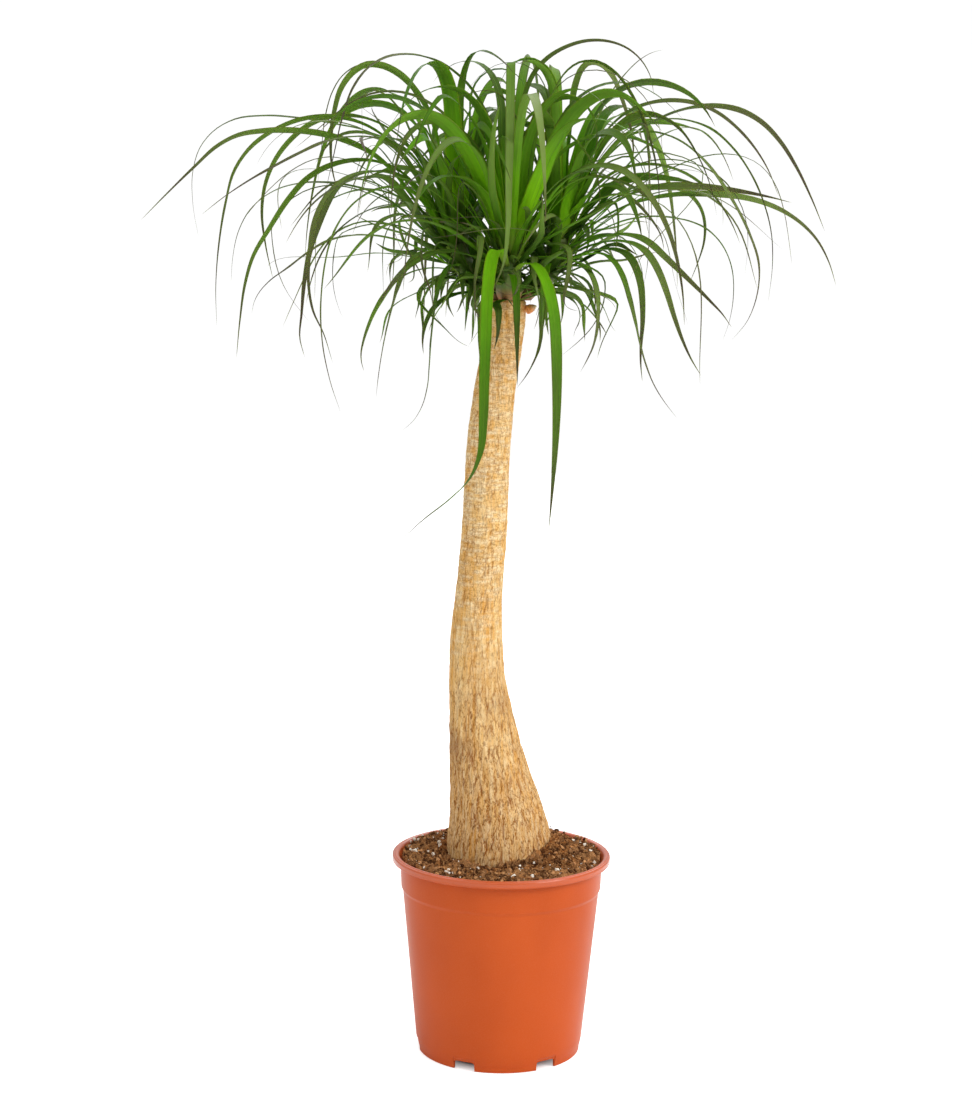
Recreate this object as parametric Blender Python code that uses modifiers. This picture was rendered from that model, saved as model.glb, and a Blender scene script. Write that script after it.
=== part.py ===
# Potted ponytail palm (Beaucarnea recurvata) in a moulded nursery pot.
# Metres, +Z up. The origin is on the pot's axis, in the plane that its feet stand on.
# Azimuths are degrees seen from above: 0 along +X and 90 along +Y.

import math

import bmesh
import bpy
import numpy as np
from mathutils import Matrix, Vector
from mathutils.bvhtree import BVHTree

COLLECTION = "potted_ponytail_palm"
SEAT_GAP = 0.0003
MERGE = 0.00001

# Pot: a turned shell with a rolled rim, a shallow collar and six feet
POT_HEIGHT = 0.2215
POT_WALL = 0.002
POT_SIDES = 60
RIM_RADIUS = 0.120
RIM_DROP = 0.0095
LIP_RADIUS = 0.1138
COLLAR_TOP_RADIUS = 0.1110
COLLAR_FOOT_RADIUS = 0.1098
COLLAR_Z = 0.1835
COLLAR_STEP = 0.0050
RIM_ROUND = 0.0034
EDGE_ROUND = 0.0010
THROAT_DROP = 0.0042
BODY_TOP_RADIUS = 0.1075
BODY_FOOT_RADIUS = 0.0918
BODY_FOOT_Z = 0.0143
FOOT_RADIUS = 0.0893
FOOT_WALL = 0.0026
BASE_Z = 0.0110
FLOOR_ROUND = 0.0030
FEET = 6
FIRST_FOOT_AZIMUTH = -85.0
NOTCH_WIDTH = 0.0245
NOTCH_HEIGHT = 0.0095
NOTCH_ROUND = 0.0020
NOTCH_DEPTH = 0.0300
DRAIN_RADIUS = 0.0045
DRAIN_CIRCLE = 0.0700

# Potting soil: fills the pot to just under the rim and mounds up at the trunk
SOIL_EDGE_Z = 0.2150
SOIL_MOUND_Z = 0.2235
SOIL_MOUND_RADIUS = 0.0640

# Trunk stations, bottom to top: height, lean along X, lean along Y, radius
TRUNK_SIDES = 20
TRUNK_RINGS = 24
TRUNK_STATIONS = (
    (0.1500, 0.002, 0.004, 0.0300),
    (0.1640, 0.001, 0.004, 0.0470),
    (0.1900, -0.001, 0.004, 0.0575),
    (0.2250, -0.002, 0.003, 0.0580),
    (0.2620, -0.006, 0.002, 0.0520),
    (0.3000, -0.013, 0.001, 0.0445),
    (0.3470, -0.020, 0.000, 0.0385),
    (0.4100, -0.028, -0.002, 0.0315),
    (0.4500, -0.030, -0.003, 0.0293),
    (0.5100, -0.028, -0.004, 0.0258),
    (0.5800, -0.023, -0.004, 0.0248),
    (0.6700, -0.020, -0.003, 0.0232),
    (0.7300, -0.015, -0.002, 0.0212),
    (0.7950, -0.004, 0.000, 0.0208),
    (0.8200, -0.002, 0.000, 0.0213),
)
TRUNK_TOP = 0.8260
TRUNK_TOP_RADIUS = 0.0203

# Side bud: a short dormant shoot on the trunk's shoulder
BUD_Z = 0.8165
BUD_AZIMUTH = -25.0
BUD_RISE = 22.0
BUD_LENGTH = 0.0120
BUD_RADIUS = 0.0036

# Shoots: each stands on the trunk's top, bends out and then up, and carries one head of leaves
SHOOT_SIDES = 14
SHOOT_FOOT_RADIUS = 0.0085
SHOOT_RADIUS = 0.0120
SHOOT_TIP_RADIUS = 0.0050
SHOOT_LEAN = 33.0
SHOOT_REACH = 0.018
SHOOT_TOP = 0.040
SHOOT_LEAFY_SHARE = 0.48
SHOOTS = {
    "left": {"foot": (-0.0115, 0.0060), "head": (-0.0570, 0.0080), "bend_z": 0.8780},
    "front": {"foot": (-0.0005, -0.0115), "head": (-0.0010, -0.0330), "bend_z": 0.8600},
    "right": {"foot": (0.0105, 0.0060), "head": (0.0500, 0.0100), "bend_z": 0.8780},
}

# Leaf blades: a channelled ribbon that tapers to a point
BLADE_STATIONS = 14
BLADE_THICKNESS = 0.0010
BLADE_FOOT_WIDTH = 0.0085
BLADE_CHANNEL = 0.30
BLADE_TURN_WEIGHT = 0.055
CLEARANCE = 0.0008
NUDGES = (0, 2, -2, 4, -4, 6, -6, 8, -8, 11, -11, 14, -14, 18, -18, 22, -22)

# Leaves: head, azimuth, length, width, roll at the tip, and the arc that the blade takes. An arc is
# a run of (share of the length, pitch in degrees), with a third value where the azimuth swings.
LEAVES = (
    # to the left
    ("left", 205, 0.42, 0.011, 40,
     ((0, 58), (0.22, 50), (0.36, 22), (0.5, 4), (0.64, -8), (0.76, -42), (1, -45))),
    ("left", 168, 0.44, 0.007, 30,
     ((0, 68), (0.2, 52), (0.34, 12), (0.52, 6), (0.64, -8), (0.74, -45), (0.84, -85), (1, -105))),
    ("left", 212, 0.355, 0.009, 30,
     ((0, 70), (0.2, 56), (0.32, 18), (0.45, -4), (0.6, -24), (0.8, -28), (1, -38))),
    ("left", 190, 0.47, 0.010, -30,
     ((0, 67), (0.2, 54), (0.34, 15), (0.46, -16), (0.58, -42), (0.68, -76), (0.84, -84),
      (1, -94))),
    ("left", 200, 0.40, 0.010, 50,
     ((0, 66), (0.15, 52), (0.3, 6), (0.42, -22), (0.55, -55), (0.7, -58), (0.8, -80), (1, -86))),
    ("left", 178, 0.39, 0.009, 40,
     ((0, 72), (0.18, 60), (0.33, 25), (0.45, -5), (0.55, -36), (0.65, -56), (0.75, -78),
      (0.85, -97), (1, -105))),
    ("left", 235, 0.43, 0.012, 20,
     ((0, 55), (0.14, 45), (0.27, 5), (0.42, -22), (0.52, -45), (0.62, -72), (0.75, -90),
      (0.88, -110), (1, -122))),
    ("left", 218, 0.36, 0.013, 20,
     ((0, 64), (0.15, 50), (0.3, 8), (0.42, -20), (0.55, -60), (0.68, -70), (0.8, -86), (0.9, -80),
      (1, -118))),
    ("left", 224, 0.39, 0.008, 30,
     ((0, 60), (0.16, 48), (0.3, 10), (0.42, -15), (0.53, -45), (0.65, -80), (0.78, -92),
      (0.88, -125), (1, -105))),
    ("left", 257, 0.27, 0.011, 30,
     ((0, 12), (0.15, 0), (0.35, -30), (0.5, -60), (0.75, -82), (0.88, -68, -50), (1, -35, -75))),
    ("left", 240, 0.25, 0.014, 30,
     ((0, 25), (0.2, 8), (0.35, -25), (0.48, -55), (0.7, -66), (1, -82))),
    ("left", 231, 0.18, 0.009, 30,
     ((0, 15), (0.25, -12), (0.45, -45), (0.7, -66), (0.85, -75), (1, -115))),
    ("left", 182, 0.35, 0.010, 60,
     ((0, 82), (0.25, 75), (0.42, 46), (0.52, 14), (0.6, -40), (0.7, -75), (0.85, -90), (1, -112))),
    ("left", 160, 0.36, 0.007, 30,
     ((0, 80), (0.3, 72), (0.45, 45), (0.53, 12), (0.61, -20), (0.7, -60), (0.8, -82), (1, -84))),
    ("left", 195, 0.255, 0.009, 40,
     ((0, 32), (0.2, 20), (0.4, 0), (0.52, -18), (0.65, -38), (0.82, -34), (0.92, -60), (1, -86))),
    ("left", 158, 0.36, 0.007, 30,
     ((0, 52), (0.2, 38), (0.38, 11), (0.52, 0), (0.65, -20), (0.75, -45), (0.86, -74), (1, -90))),
    ("left", 128, 0.48, 0.011, 40,
     ((0, 70), (0.22, 58), (0.4, 15), (0.55, -25), (0.75, -65), (1, -86))),
    ("left", 98, 0.49, 0.012, -40,
     ((0, 62), (0.2, 45), (0.4, 5), (0.55, -35), (0.75, -72), (1, -85))),
    ("left", 65, 0.36, 0.010, 40,
     ((0, 80), (0.3, 66), (0.45, 30), (0.6, -30), (0.8, -72), (1, -90))),
    # from the middle
    ("front", 256, 0.40, 0.015, 10,
     ((0, 40), (0.1, 8), (0.2, -62), (0.32, -85), (0.62, -88), (0.72, -66, -63), (0.79, -40, -70),
      (0.92, -38, -70), (1, -50, -70))),
    ("front", 268, 0.44, 0.011, 50,
     ((0, 88), (0.36, 86), (0.42, 20), (0.48, -72), (0.6, -84), (0.85, -78), (1, -55, -50))),
    ("front", 299, 0.33, 0.014, 15,
     ((0, 30), (0.08, 5), (0.16, -35), (0.25, -58), (0.38, -82), (0.6, -90), (0.8, -96), (1, -98))),
    ("front", 278, 0.14, 0.009, 10,
     ((0, 10), (0.25, -50), (0.5, -80), (1, -85))),
    ("front", 352, 0.41, 0.014, 30,
     ((0, 87), (0.18, 82), (0.3, 73), (0.42, 62), (0.48, 30), (0.54, -20), (0.61, -50), (0.7, -65),
      (0.85, -78), (1, -100))),
    ("front", 215, 0.285, 0.012, 40,
     ((0, 84), (0.14, 80), (0.3, 62), (0.45, 35), (0.57, 8), (0.65, -30), (0.75, -62), (0.88, -82),
      (1, -92))),
    ("front", 186, 0.42, 0.012, 40,
     ((0, 88), (0.2, 84), (0.33, 60), (0.43, 38), (0.52, 12), (0.6, -15), (0.68, -50), (0.78, -76),
      (1, -78))),
    ("front", 5, 0.335, 0.007, 30,
     ((0, 89), (0.38, 87), (0.48, 64), (0.56, 38), (0.64, 22), (0.72, 2), (0.8, -20), (0.9, -55),
      (1, -88))),
    ("front", 276, 0.43, 0.014, 25,
     ((0, 74), (0.28, 56), (0.45, 18), (0.6, -15), (0.8, -50), (1, -78))),
    ("front", 248, 0.40, 0.009, -30,
     ((0, 66), (0.25, 48), (0.42, 10), (0.6, -30), (0.8, -62), (1, -84))),
    ("front", 312, 0.38, 0.009, 30,
     ((0, 62), (0.22, 46), (0.4, 8), (0.58, -35), (0.8, -68), (1, -88))),
    ("front", 82, 0.50, 0.012, 30,
     ((0, 82), (0.3, 66), (0.5, 15), (0.65, -35), (0.82, -70), (1, -86))),
    # to the right
    ("right", 20, 0.385, 0.010, 40,
     ((0, 50), (0.12, 33), (0.25, 16), (0.4, 3), (0.55, -5), (0.68, -20), (0.8, -38), (0.9, -60),
      (1, -74))),
    ("right", 5, 0.40, 0.011, 40,
     ((0, 74), (0.12, 62), (0.24, 42), (0.36, 30), (0.48, 10), (0.58, -12), (0.68, -42), (0.8, -60),
      (1, -68))),
    ("right", 352, 0.345, 0.008, 30,
     ((0, 78), (0.2, 68), (0.34, 45), (0.46, 15), (0.58, -8), (0.7, -35), (0.85, -54), (1, -72))),
    ("right", 345, 0.26, 0.011, 60,
     ((0, 52), (0.2, 40), (0.35, 20), (0.5, 3), (0.7, -6), (1, -15))),
    ("right", 335, 0.43, 0.012, -40,
     ((0, 72), (0.16, 62), (0.26, 40), (0.33, 5), (0.42, -25), (0.52, -48), (0.68, -60),
      (0.78, -72), (0.84, -95), (0.93, -115), (1, -140))),
    ("right", 10, 0.43, 0.009, 40,
     ((0, 72), (0.15, 64), (0.28, 40), (0.38, 8), (0.47, -15), (0.56, -42), (0.68, -60), (0.8, -75),
      (0.9, -92), (1, -98))),
    ("right", 30, 0.29, 0.009, 40,
     ((0, 52), (0.2, 38), (0.38, 8), (0.55, -8), (0.65, -40), (0.75, -80), (0.85, -108),
      (1, -118))),
    ("right", 340, 0.29, 0.008, 30,
     ((0, 42), (0.18, 25), (0.35, 2), (0.5, -15), (0.6, -42), (0.7, -68), (0.8, -88), (1, -112))),
    ("right", 318, 0.255, 0.009, 40,
     ((0, 32), (0.2, 15), (0.38, -8), (0.5, -35), (0.7, -36), (0.9, -38), (1, -52))),
    ("right", 310, 0.275, 0.010, 20,
     ((0, 25), (0.2, 5), (0.3, -30), (0.4, -62), (0.6, -72), (0.75, -62), (0.87, -45), (1, -36))),
    ("right", 325, 0.23, 0.011, 30,
     ((0, 25), (0.2, 12), (0.36, -12), (0.46, -55), (0.58, -80), (0.8, -96), (1, -78))),
    ("right", 314, 0.27, 0.010, 30,
     ((0, 28), (0.2, 12), (0.38, -12), (0.5, -48), (0.65, -67), (0.82, -62), (1, -46))),
    ("right", 355, 0.30, 0.010, 40,
     ((0, 88), (0.42, 85), (0.52, 60), (0.57, -10), (0.65, -62), (0.85, -76), (1, -102))),
    ("right", 22, 0.225, 0.006, 20,
     ((0, 80), (0.3, 72), (0.6, 60), (0.8, 45), (0.9, 30), (1, 8))),
    ("right", 258, 0.165, 0.010, 20,
     ((0, 20), (0.12, -25), (0.25, -72), (0.6, -80), (0.75, -62, -40), (1, -45, -50))),
    ("right", 300, 0.19, 0.008, 30,
     ((0, 15), (0.28, -5), (0.42, -50), (0.55, -82), (0.7, -100), (0.85, -128), (1, -135))),
    ("right", 330, 0.30, 0.015, 20,
     ((0, 72), (0.3, 60), (0.45, 30), (0.55, -10), (0.7, -50), (1, -80))),
    ("right", 92, 0.42, 0.014, 30,
     ((0, 80), (0.28, 64), (0.44, 25), (0.6, -25), (0.8, -68), (1, -84))),
    ("right", 60, 0.48, 0.012, -40,
     ((0, 66), (0.22, 52), (0.4, 12), (0.56, -30), (0.76, -68), (1, -86))),
    ("right", 118, 0.40, 0.010, 40,
     ((0, 56), (0.2, 40), (0.38, 5), (0.55, -36), (0.75, -72), (1, -86))),
)

POT_COLOUR = (0.56, 0.115, 0.032, 1)
SOIL_COLOUR = (0.105, 0.060, 0.034, 1)
TRUNK_COLOUR = (0.62, 0.42, 0.21, 1)
BUD_COLOUR = (0.78, 0.32, 0.07, 1)
SHOOT_COLOUR = (0.34, 0.42, 0.13, 1)
LEAF_DARK = (0.050, 0.130, 0.010)
LEAF_BRIGHT = (0.150, 0.310, 0.020)


def remove_everything():
    for item in list(bpy.data.objects):
        bpy.data.objects.remove(item, do_unlink=True)


def new_collection(name):
    collection = bpy.data.collections.new(name)
    bpy.context.scene.collection.children.link(collection)
    return collection


def add_object(name, data, collection):
    item = bpy.data.objects.new(name, data)
    collection.objects.link(item)
    return item


def take_active(name, collection):
    # The object that a primitive operator has just made, renamed and moved to a collection
    item = bpy.context.active_object
    item.name = name
    for old in list(item.users_collection):
        old.objects.unlink(item)
    collection.objects.link(item)
    return item


def give_material(item, colour, roughness):
    material = bpy.data.materials.new(item.name)
    material.use_nodes = True
    shader = material.node_tree.nodes["Principled BSDF"]
    shader.inputs["Base Color"].default_value = colour
    shader.inputs["Roughness"].default_value = roughness
    shader.inputs["Metallic"].default_value = 0.0
    item.data.materials.clear()
    item.data.materials.append(material)


def smooth(mesh, angle):
    mesh.shade_smooth()
    mesh.set_sharp_from_angle(angle=math.radians(angle))


def heading(azimuth, pitch=0.0):
    # The unit vector that points along an azimuth and up by a pitch, both in degrees
    a = math.radians(azimuth)
    p = math.radians(pitch)
    return Vector((math.cos(p) * math.cos(a), math.cos(p) * math.sin(a), math.sin(p)))


def as_mesh(item):
    # Bakes an object's modifiers or curve into a plain closed mesh, with its caps welded
    depsgraph = bpy.context.evaluated_depsgraph_get()
    mesh = bpy.data.meshes.new_from_object(item.evaluated_get(depsgraph))
    bm = bmesh.new()
    bm.from_mesh(mesh)
    bmesh.ops.remove_doubles(bm, verts=bm.verts, dist=MERGE)
    bm.to_mesh(mesh)
    bm.free()
    mesh.name = item.name
    return mesh


def bake(item, collection):
    # Replaces an object by the plain mesh that it evaluates to
    name = item.name
    place = item.matrix_world.copy()
    mesh = as_mesh(item)
    bpy.data.objects.remove(item, do_unlink=True)
    baked = add_object(name, mesh, collection)
    baked.matrix_world = place
    return baked


def turned(name, profile, sides, collection):
    # A profile in the XZ plane turned about Z; it runs from the axis, over the top, back to the axis
    mesh = bpy.data.meshes.new(name)
    edges = [(i, i + 1) for i in range(len(profile) - 1)]
    mesh.from_pydata([(r, 0.0, z) for r, z in profile], edges, [])
    item = add_object(name, mesh, collection)
    screw = item.modifiers.new("turn", "SCREW")
    screw.steps = sides
    screw.render_steps = sides
    screw.use_merge_vertices = True
    screw.merge_threshold = MERGE
    return bake(item, collection)


def tapered_tube(name, points, radii, sides, collection):
    # A tube along a run of points with a radius at each, closed by flat caps
    curve = bpy.data.curves.new(name, "CURVE")
    curve.dimensions = "3D"
    curve.bevel_depth = 1.0
    curve.bevel_resolution = sides // 2 - 2
    curve.use_fill_caps = True
    spline = curve.splines.new("POLY")
    spline.points.add(len(points) - 1)
    for node, point, radius in zip(spline.points, points, radii):
        node.co = (*point, 1.0)
        node.radius = radius
    return bake(add_object(name, curve, collection), collection)


def subtract(item, cutter):
    cut = item.modifiers.new(cutter.name, "BOOLEAN")
    cut.operation = "DIFFERENCE"
    cut.solver = "EXACT"
    cut.object = cutter


def hide_cutter(cutter):
    cutter.hide_render = True
    cutter.display_type = "WIRE"


def inner_wall():
    # The pot's inner face as (radius, height), from the base up to where the lip turns out
    return (
        (BODY_FOOT_RADIUS - POT_WALL - FLOOR_ROUND, BASE_Z + POT_WALL),
        (BODY_FOOT_RADIUS - POT_WALL, BASE_Z + POT_WALL + 1.4 * FLOOR_ROUND),
        (BODY_TOP_RADIUS - POT_WALL, COLLAR_Z - COLLAR_STEP),
        (COLLAR_FOOT_RADIUS - POT_WALL, COLLAR_Z + EDGE_ROUND),
        (COLLAR_TOP_RADIUS - POT_WALL, POT_HEIGHT - 2.0 * THROAT_DROP),
    )


def pot_profile():
    # From the middle of the floor, up the inside, over the rim, down the outside and under
    top = POT_HEIGHT
    lip = [
        (COLLAR_TOP_RADIUS - POT_WALL + EDGE_ROUND, top - THROAT_DROP),
        (LIP_RADIUS, top - EDGE_ROUND),
        (LIP_RADIUS + EDGE_ROUND, top - 0.3 * EDGE_ROUND),
        (RIM_RADIUS - RIM_ROUND, top),
        (RIM_RADIUS - 0.3 * RIM_ROUND, top - 0.3 * RIM_ROUND),
        (RIM_RADIUS, top - RIM_ROUND),
        (RIM_RADIUS - 0.3 * EDGE_ROUND, top - RIM_DROP + EDGE_ROUND),
        (RIM_RADIUS - EDGE_ROUND, top - RIM_DROP),
        (COLLAR_TOP_RADIUS + EDGE_ROUND, top - RIM_DROP + 0.5 * EDGE_ROUND),
    ]
    outside = [
        (COLLAR_TOP_RADIUS, top - RIM_DROP - EDGE_ROUND),
        (COLLAR_FOOT_RADIUS, COLLAR_Z),
        (BODY_TOP_RADIUS + 0.6 * EDGE_ROUND, COLLAR_Z - COLLAR_STEP + EDGE_ROUND),
        (BODY_TOP_RADIUS, COLLAR_Z - COLLAR_STEP - 2.0 * EDGE_ROUND),
        (BODY_FOOT_RADIUS, BODY_FOOT_Z),
        (BODY_FOOT_RADIUS - 0.7 * EDGE_ROUND, NOTCH_HEIGHT),
        (FOOT_RADIUS + 0.4 * EDGE_ROUND, 0.5 * NOTCH_HEIGHT),
        (FOOT_RADIUS, EDGE_ROUND),
        (FOOT_RADIUS - 0.6 * EDGE_ROUND, 0.0),
    ]
    under = [
        (FOOT_RADIUS - FOOT_WALL, 0.0),
        (FOOT_RADIUS - FOOT_WALL, BASE_Z - EDGE_ROUND),
        (FOOT_RADIUS - FOOT_WALL - EDGE_ROUND, BASE_Z),
        (0.0, BASE_Z),
    ]
    return [(0.0, BASE_Z + POT_WALL), *inner_wall(), *lip, *outside, *under]


def notch_cutter(azimuth, collection):
    # A rounded block that opens the foot ring between two feet
    bpy.ops.mesh.primitive_cube_add(size=1.0)
    block = take_active(f"notch_{round(azimuth)}", collection)
    block.data.transform(Matrix.Diagonal((NOTCH_DEPTH, NOTCH_WIDTH, 2.0 * NOTCH_HEIGHT, 1.0)))
    bevel = block.modifiers.new("round", "BEVEL")
    bevel.width = NOTCH_ROUND
    bevel.segments = 2
    block.location = heading(azimuth) * FOOT_RADIUS
    block.rotation_euler.z = math.radians(azimuth)
    hide_cutter(block)
    return block


def drain_cutter(azimuth, collection):
    bpy.ops.mesh.primitive_cylinder_add(vertices=16, radius=DRAIN_RADIUS, depth=4.0 * POT_WALL)
    drill = take_active(f"drain_{round(azimuth)}", collection)
    drill.location = heading(azimuth) * DRAIN_CIRCLE
    drill.location.z = BASE_Z + 0.5 * POT_WALL
    hide_cutter(drill)
    return drill


def make_pot(parts, cutters):
    pot = turned("pot", pot_profile(), POT_SIDES, parts)
    pitch = 360.0 / FEET
    for k in range(FEET):
        gap_azimuth = FIRST_FOOT_AZIMUTH + (k + 0.5) * pitch
        subtract(pot, notch_cutter(gap_azimuth, cutters))
        subtract(pot, drain_cutter(gap_azimuth, cutters))
    smooth(pot.data, 35)
    give_material(pot, POT_COLOUR, 0.42)
    return pot


def trunk_path(grow=0.0):
    # Ring centres and radii, read from a smooth curve through the stations and ended by a level top;
    # grow offsets the surface
    stations = np.array(TRUNK_STATIONS)
    heights = np.linspace(stations[0, 0], stations[-1, 0], TRUNK_RINGS)
    along = np.interp(heights, stations[:, 0], np.arange(len(stations)))
    k = np.clip(along.astype(int), 0, len(stations) - 2)
    t = (along - k)[:, None]
    ends = np.vstack([2 * stations[0] - stations[1], stations, 2 * stations[-1] - stations[-2]])
    p0, p1, p2, p3 = ends[k], ends[k + 1], ends[k + 2], ends[k + 3]
    rings = 0.5 * (2 * p1 + (p2 - p0) * t + (2 * p0 - 5 * p1 + 4 * p2 - p3) * t**2
                   + (3 * p1 - p0 - 3 * p2 + p3) * t**3)
    points = [(x, y, z) for z, (x, y) in zip(heights, rings[:, 1:3])]
    points.append((*points[-1][:2], TRUNK_TOP))
    radii = np.append(rings[:, 3], TRUNK_TOP_RADIUS) + grow
    points[0] = (*points[0][:2], points[0][2] - grow)
    return points, radii


def make_trunk(parts):
    points, radii = trunk_path()
    trunk = tapered_tube("trunk", points, radii, TRUNK_SIDES, parts)
    smooth(trunk.data, 50)
    give_material(trunk, TRUNK_COLOUR, 0.85)
    return trunk


def make_soil(parts, cutters):
    wall = [(r - SEAT_GAP, z) for r, z in inner_wall()]
    floor_z = wall[0][1] + SEAT_GAP
    edge_radius = wall[-1][0]
    slope_radius = 0.5 * (SOIL_MOUND_RADIUS + edge_radius)
    slope_z = 0.4 * SOIL_MOUND_Z + 0.6 * SOIL_EDGE_Z
    mound = [(0.0, SOIL_MOUND_Z), (SOIL_MOUND_RADIUS, SOIL_MOUND_Z)]
    skirt = [(slope_radius, slope_z), (edge_radius, SOIL_EDGE_Z)]
    side = wall[:0:-1]
    bottom = [(wall[0][0], floor_z), (0.0, floor_z)]
    soil = turned("potting_soil", mound + skirt + side + bottom, POT_SIDES, parts)
    points, radii = trunk_path(SEAT_GAP)
    recess = tapered_tube("trunk_recess", points, radii, TRUNK_SIDES, cutters)
    hide_cutter(recess)
    subtract(soil, recess)
    smooth(soil.data, 40)
    give_material(soil, SOIL_COLOUR, 0.95)
    return soil


def make_side_bud(parts):
    # A blunt cone that leaves the trunk's shoulder
    points, radii = trunk_path()
    heights = [point[2] for point in points]
    centre = Vector([np.interp(BUD_Z, heights, [point[k] for point in points]) for k in range(3)])
    trunk_radius = np.interp(BUD_Z, heights, radii)
    away = heading(BUD_AZIMUTH, BUD_RISE)
    slant = BUD_RADIUS * math.sin(math.radians(BUD_RISE))
    foot = centre + heading(BUD_AZIMUTH) * (trunk_radius + SEAT_GAP + slant)
    shares = (0.0, 0.25, 0.6, 0.85, 1.0)
    widths = (1.0, 1.12, 0.95, 0.62, 0.25)
    bud = tapered_tube(
        "side_bud",
        [foot + away * (BUD_LENGTH * share) for share in shares],
        [BUD_RADIUS * width for width in widths],
        12,
        parts,
    )
    smooth(bud.data, 50)
    give_material(bud, BUD_COLOUR, 0.6)
    return bud


def shoot_path(spec):
    # A Bezier that leaves the trunk leaning, straightens up under the head, and ends in a rounded tip
    foot = Vector((*spec["foot"], TRUNK_TOP + SEAT_GAP))
    bend = Vector((*spec["head"], spec["bend_z"]))
    outward = math.degrees(math.atan2(bend.y - foot.y, bend.x - foot.x))
    lean = heading(outward, 90.0 - SHOOT_LEAN)
    p1 = foot + lean * SHOOT_REACH
    p2 = bend - Vector((0, 0, SHOOT_REACH))
    points = [foot - lean * SHOOT_FOOT_RADIUS]
    for t in np.linspace(0.0, 1.0, 9):
        near = foot * (1 - t)**3 + p1 * (3 * t * (1 - t)**2)
        points.append(near + p2 * (3 * t**2 * (1 - t)) + bend * t**3)
    for share in (0.3, 0.6, 0.85, 1.0):
        points.append(bend + Vector((0, 0, SHOOT_TOP * share)))
    swell = [min(1.0, k / 6) for k in range(len(points) - 2)]
    radii = [SHOOT_FOOT_RADIUS + (SHOOT_RADIUS - SHOOT_FOOT_RADIUS) * share for share in swell]
    radii += [0.6 * SHOOT_RADIUS + 0.4 * SHOOT_TIP_RADIUS, SHOOT_TIP_RADIUS]
    return points, radii


def make_shoot(name, spec, parts):
    points, radii = shoot_path(spec)
    shoot = tapered_tube(f"shoot_{name}", points, radii, SHOOT_SIDES, parts)
    level = TRUNK_TOP + SEAT_GAP
    bm = bmesh.new()
    bm.from_mesh(shoot.data)
    cut = bmesh.ops.bisect_plane(
        bm,
        geom=bm.verts[:] + bm.edges[:] + bm.faces[:],
        plane_co=(0, 0, level),
        plane_no=(0, 0, -1),
        clear_outer=True,
    )
    rim = [item for item in cut["geom_cut"] if isinstance(item, bmesh.types.BMEdge)]
    bmesh.ops.contextual_create(bm, geom=rim)
    bmesh.ops.recalc_face_normals(bm, faces=bm.faces)
    bm.to_mesh(shoot.data)
    bm.free()
    smooth(shoot.data, 50)
    give_material(shoot, SHOOT_COLOUR, 0.7)
    return shoot


def seat_on_shoot(spec, share, azimuth):
    # The axis point, axis direction and radius at a share of the shoot's leafy stretch
    points, radii = shoot_path(spec)
    steps = [0.0] + [(b - a).length for a, b in zip(points, points[1:])]
    along = np.cumsum(steps)
    at = along[-1] * (SHOOT_LEAFY_SHARE + (1.0 - SHOOT_LEAFY_SHARE) * share)
    centre = Vector([np.interp(at, along, [p[k] for p in points]) for k in range(3)])
    radius = float(np.interp(at, along, radii))
    ahead = Vector([np.interp(at + 0.002, along, [p[k] for p in points]) for k in range(3)])
    behind = Vector([np.interp(at - 0.002, along, [p[k] for p in points]) for k in range(3)])
    axis = (ahead - behind).normalized()
    radial = heading(azimuth)
    radial = (radial - axis * radial.dot(axis)).normalized()
    return centre, radial, radius


def arc_directions(azimuth, arc, shares):
    # Unit vectors along the blade: the arc's directions, blended in straight lines between its turns
    at = [turn[0] for turn in arc]
    turns = [heading(azimuth + (turn[2] if len(turn) > 2 else 0.0), turn[1]) for turn in arc]
    blend = np.stack([np.interp(shares, at, [turn[k] for turn in turns]) for k in range(3)], axis=1)
    return blend / np.linalg.norm(blend, axis=1)[:, None]


def blade_stations(foot, azimuth, length, arc):
    # Positions and directions along the blade, closer together where it turns
    fine = np.linspace(0.0, 1.0, 241)
    directions = arc_directions(azimuth, arc, fine)
    step = length / (len(fine) - 1)
    middles = 0.5 * (directions[1:] + directions[:-1]) * step
    points = np.vstack([np.zeros(3), np.cumsum(middles, axis=0)]) + np.array(foot)
    turning = np.linalg.norm(np.diff(directions, axis=0), axis=1)
    weight = np.concatenate([[0.0], np.cumsum(step + BLADE_TURN_WEIGHT * turning)])
    picks = np.interp(np.linspace(0.0, weight[-1], BLADE_STATIONS), weight, fine)
    at = [np.interp(picks, fine, points[:, k]) for k in range(3)]
    return picks, np.stack(at, axis=1), arc_directions(azimuth, arc, picks)


def blade_width(share, width):
    # Narrow at the sheath, full by a seventh of the length, then tapering to the tip
    swell = min(1.0, share / 0.14)
    foot = min(BLADE_FOOT_WIDTH, width)
    return (foot + (width - foot) * swell) * (1.0 - share)**0.5


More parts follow.
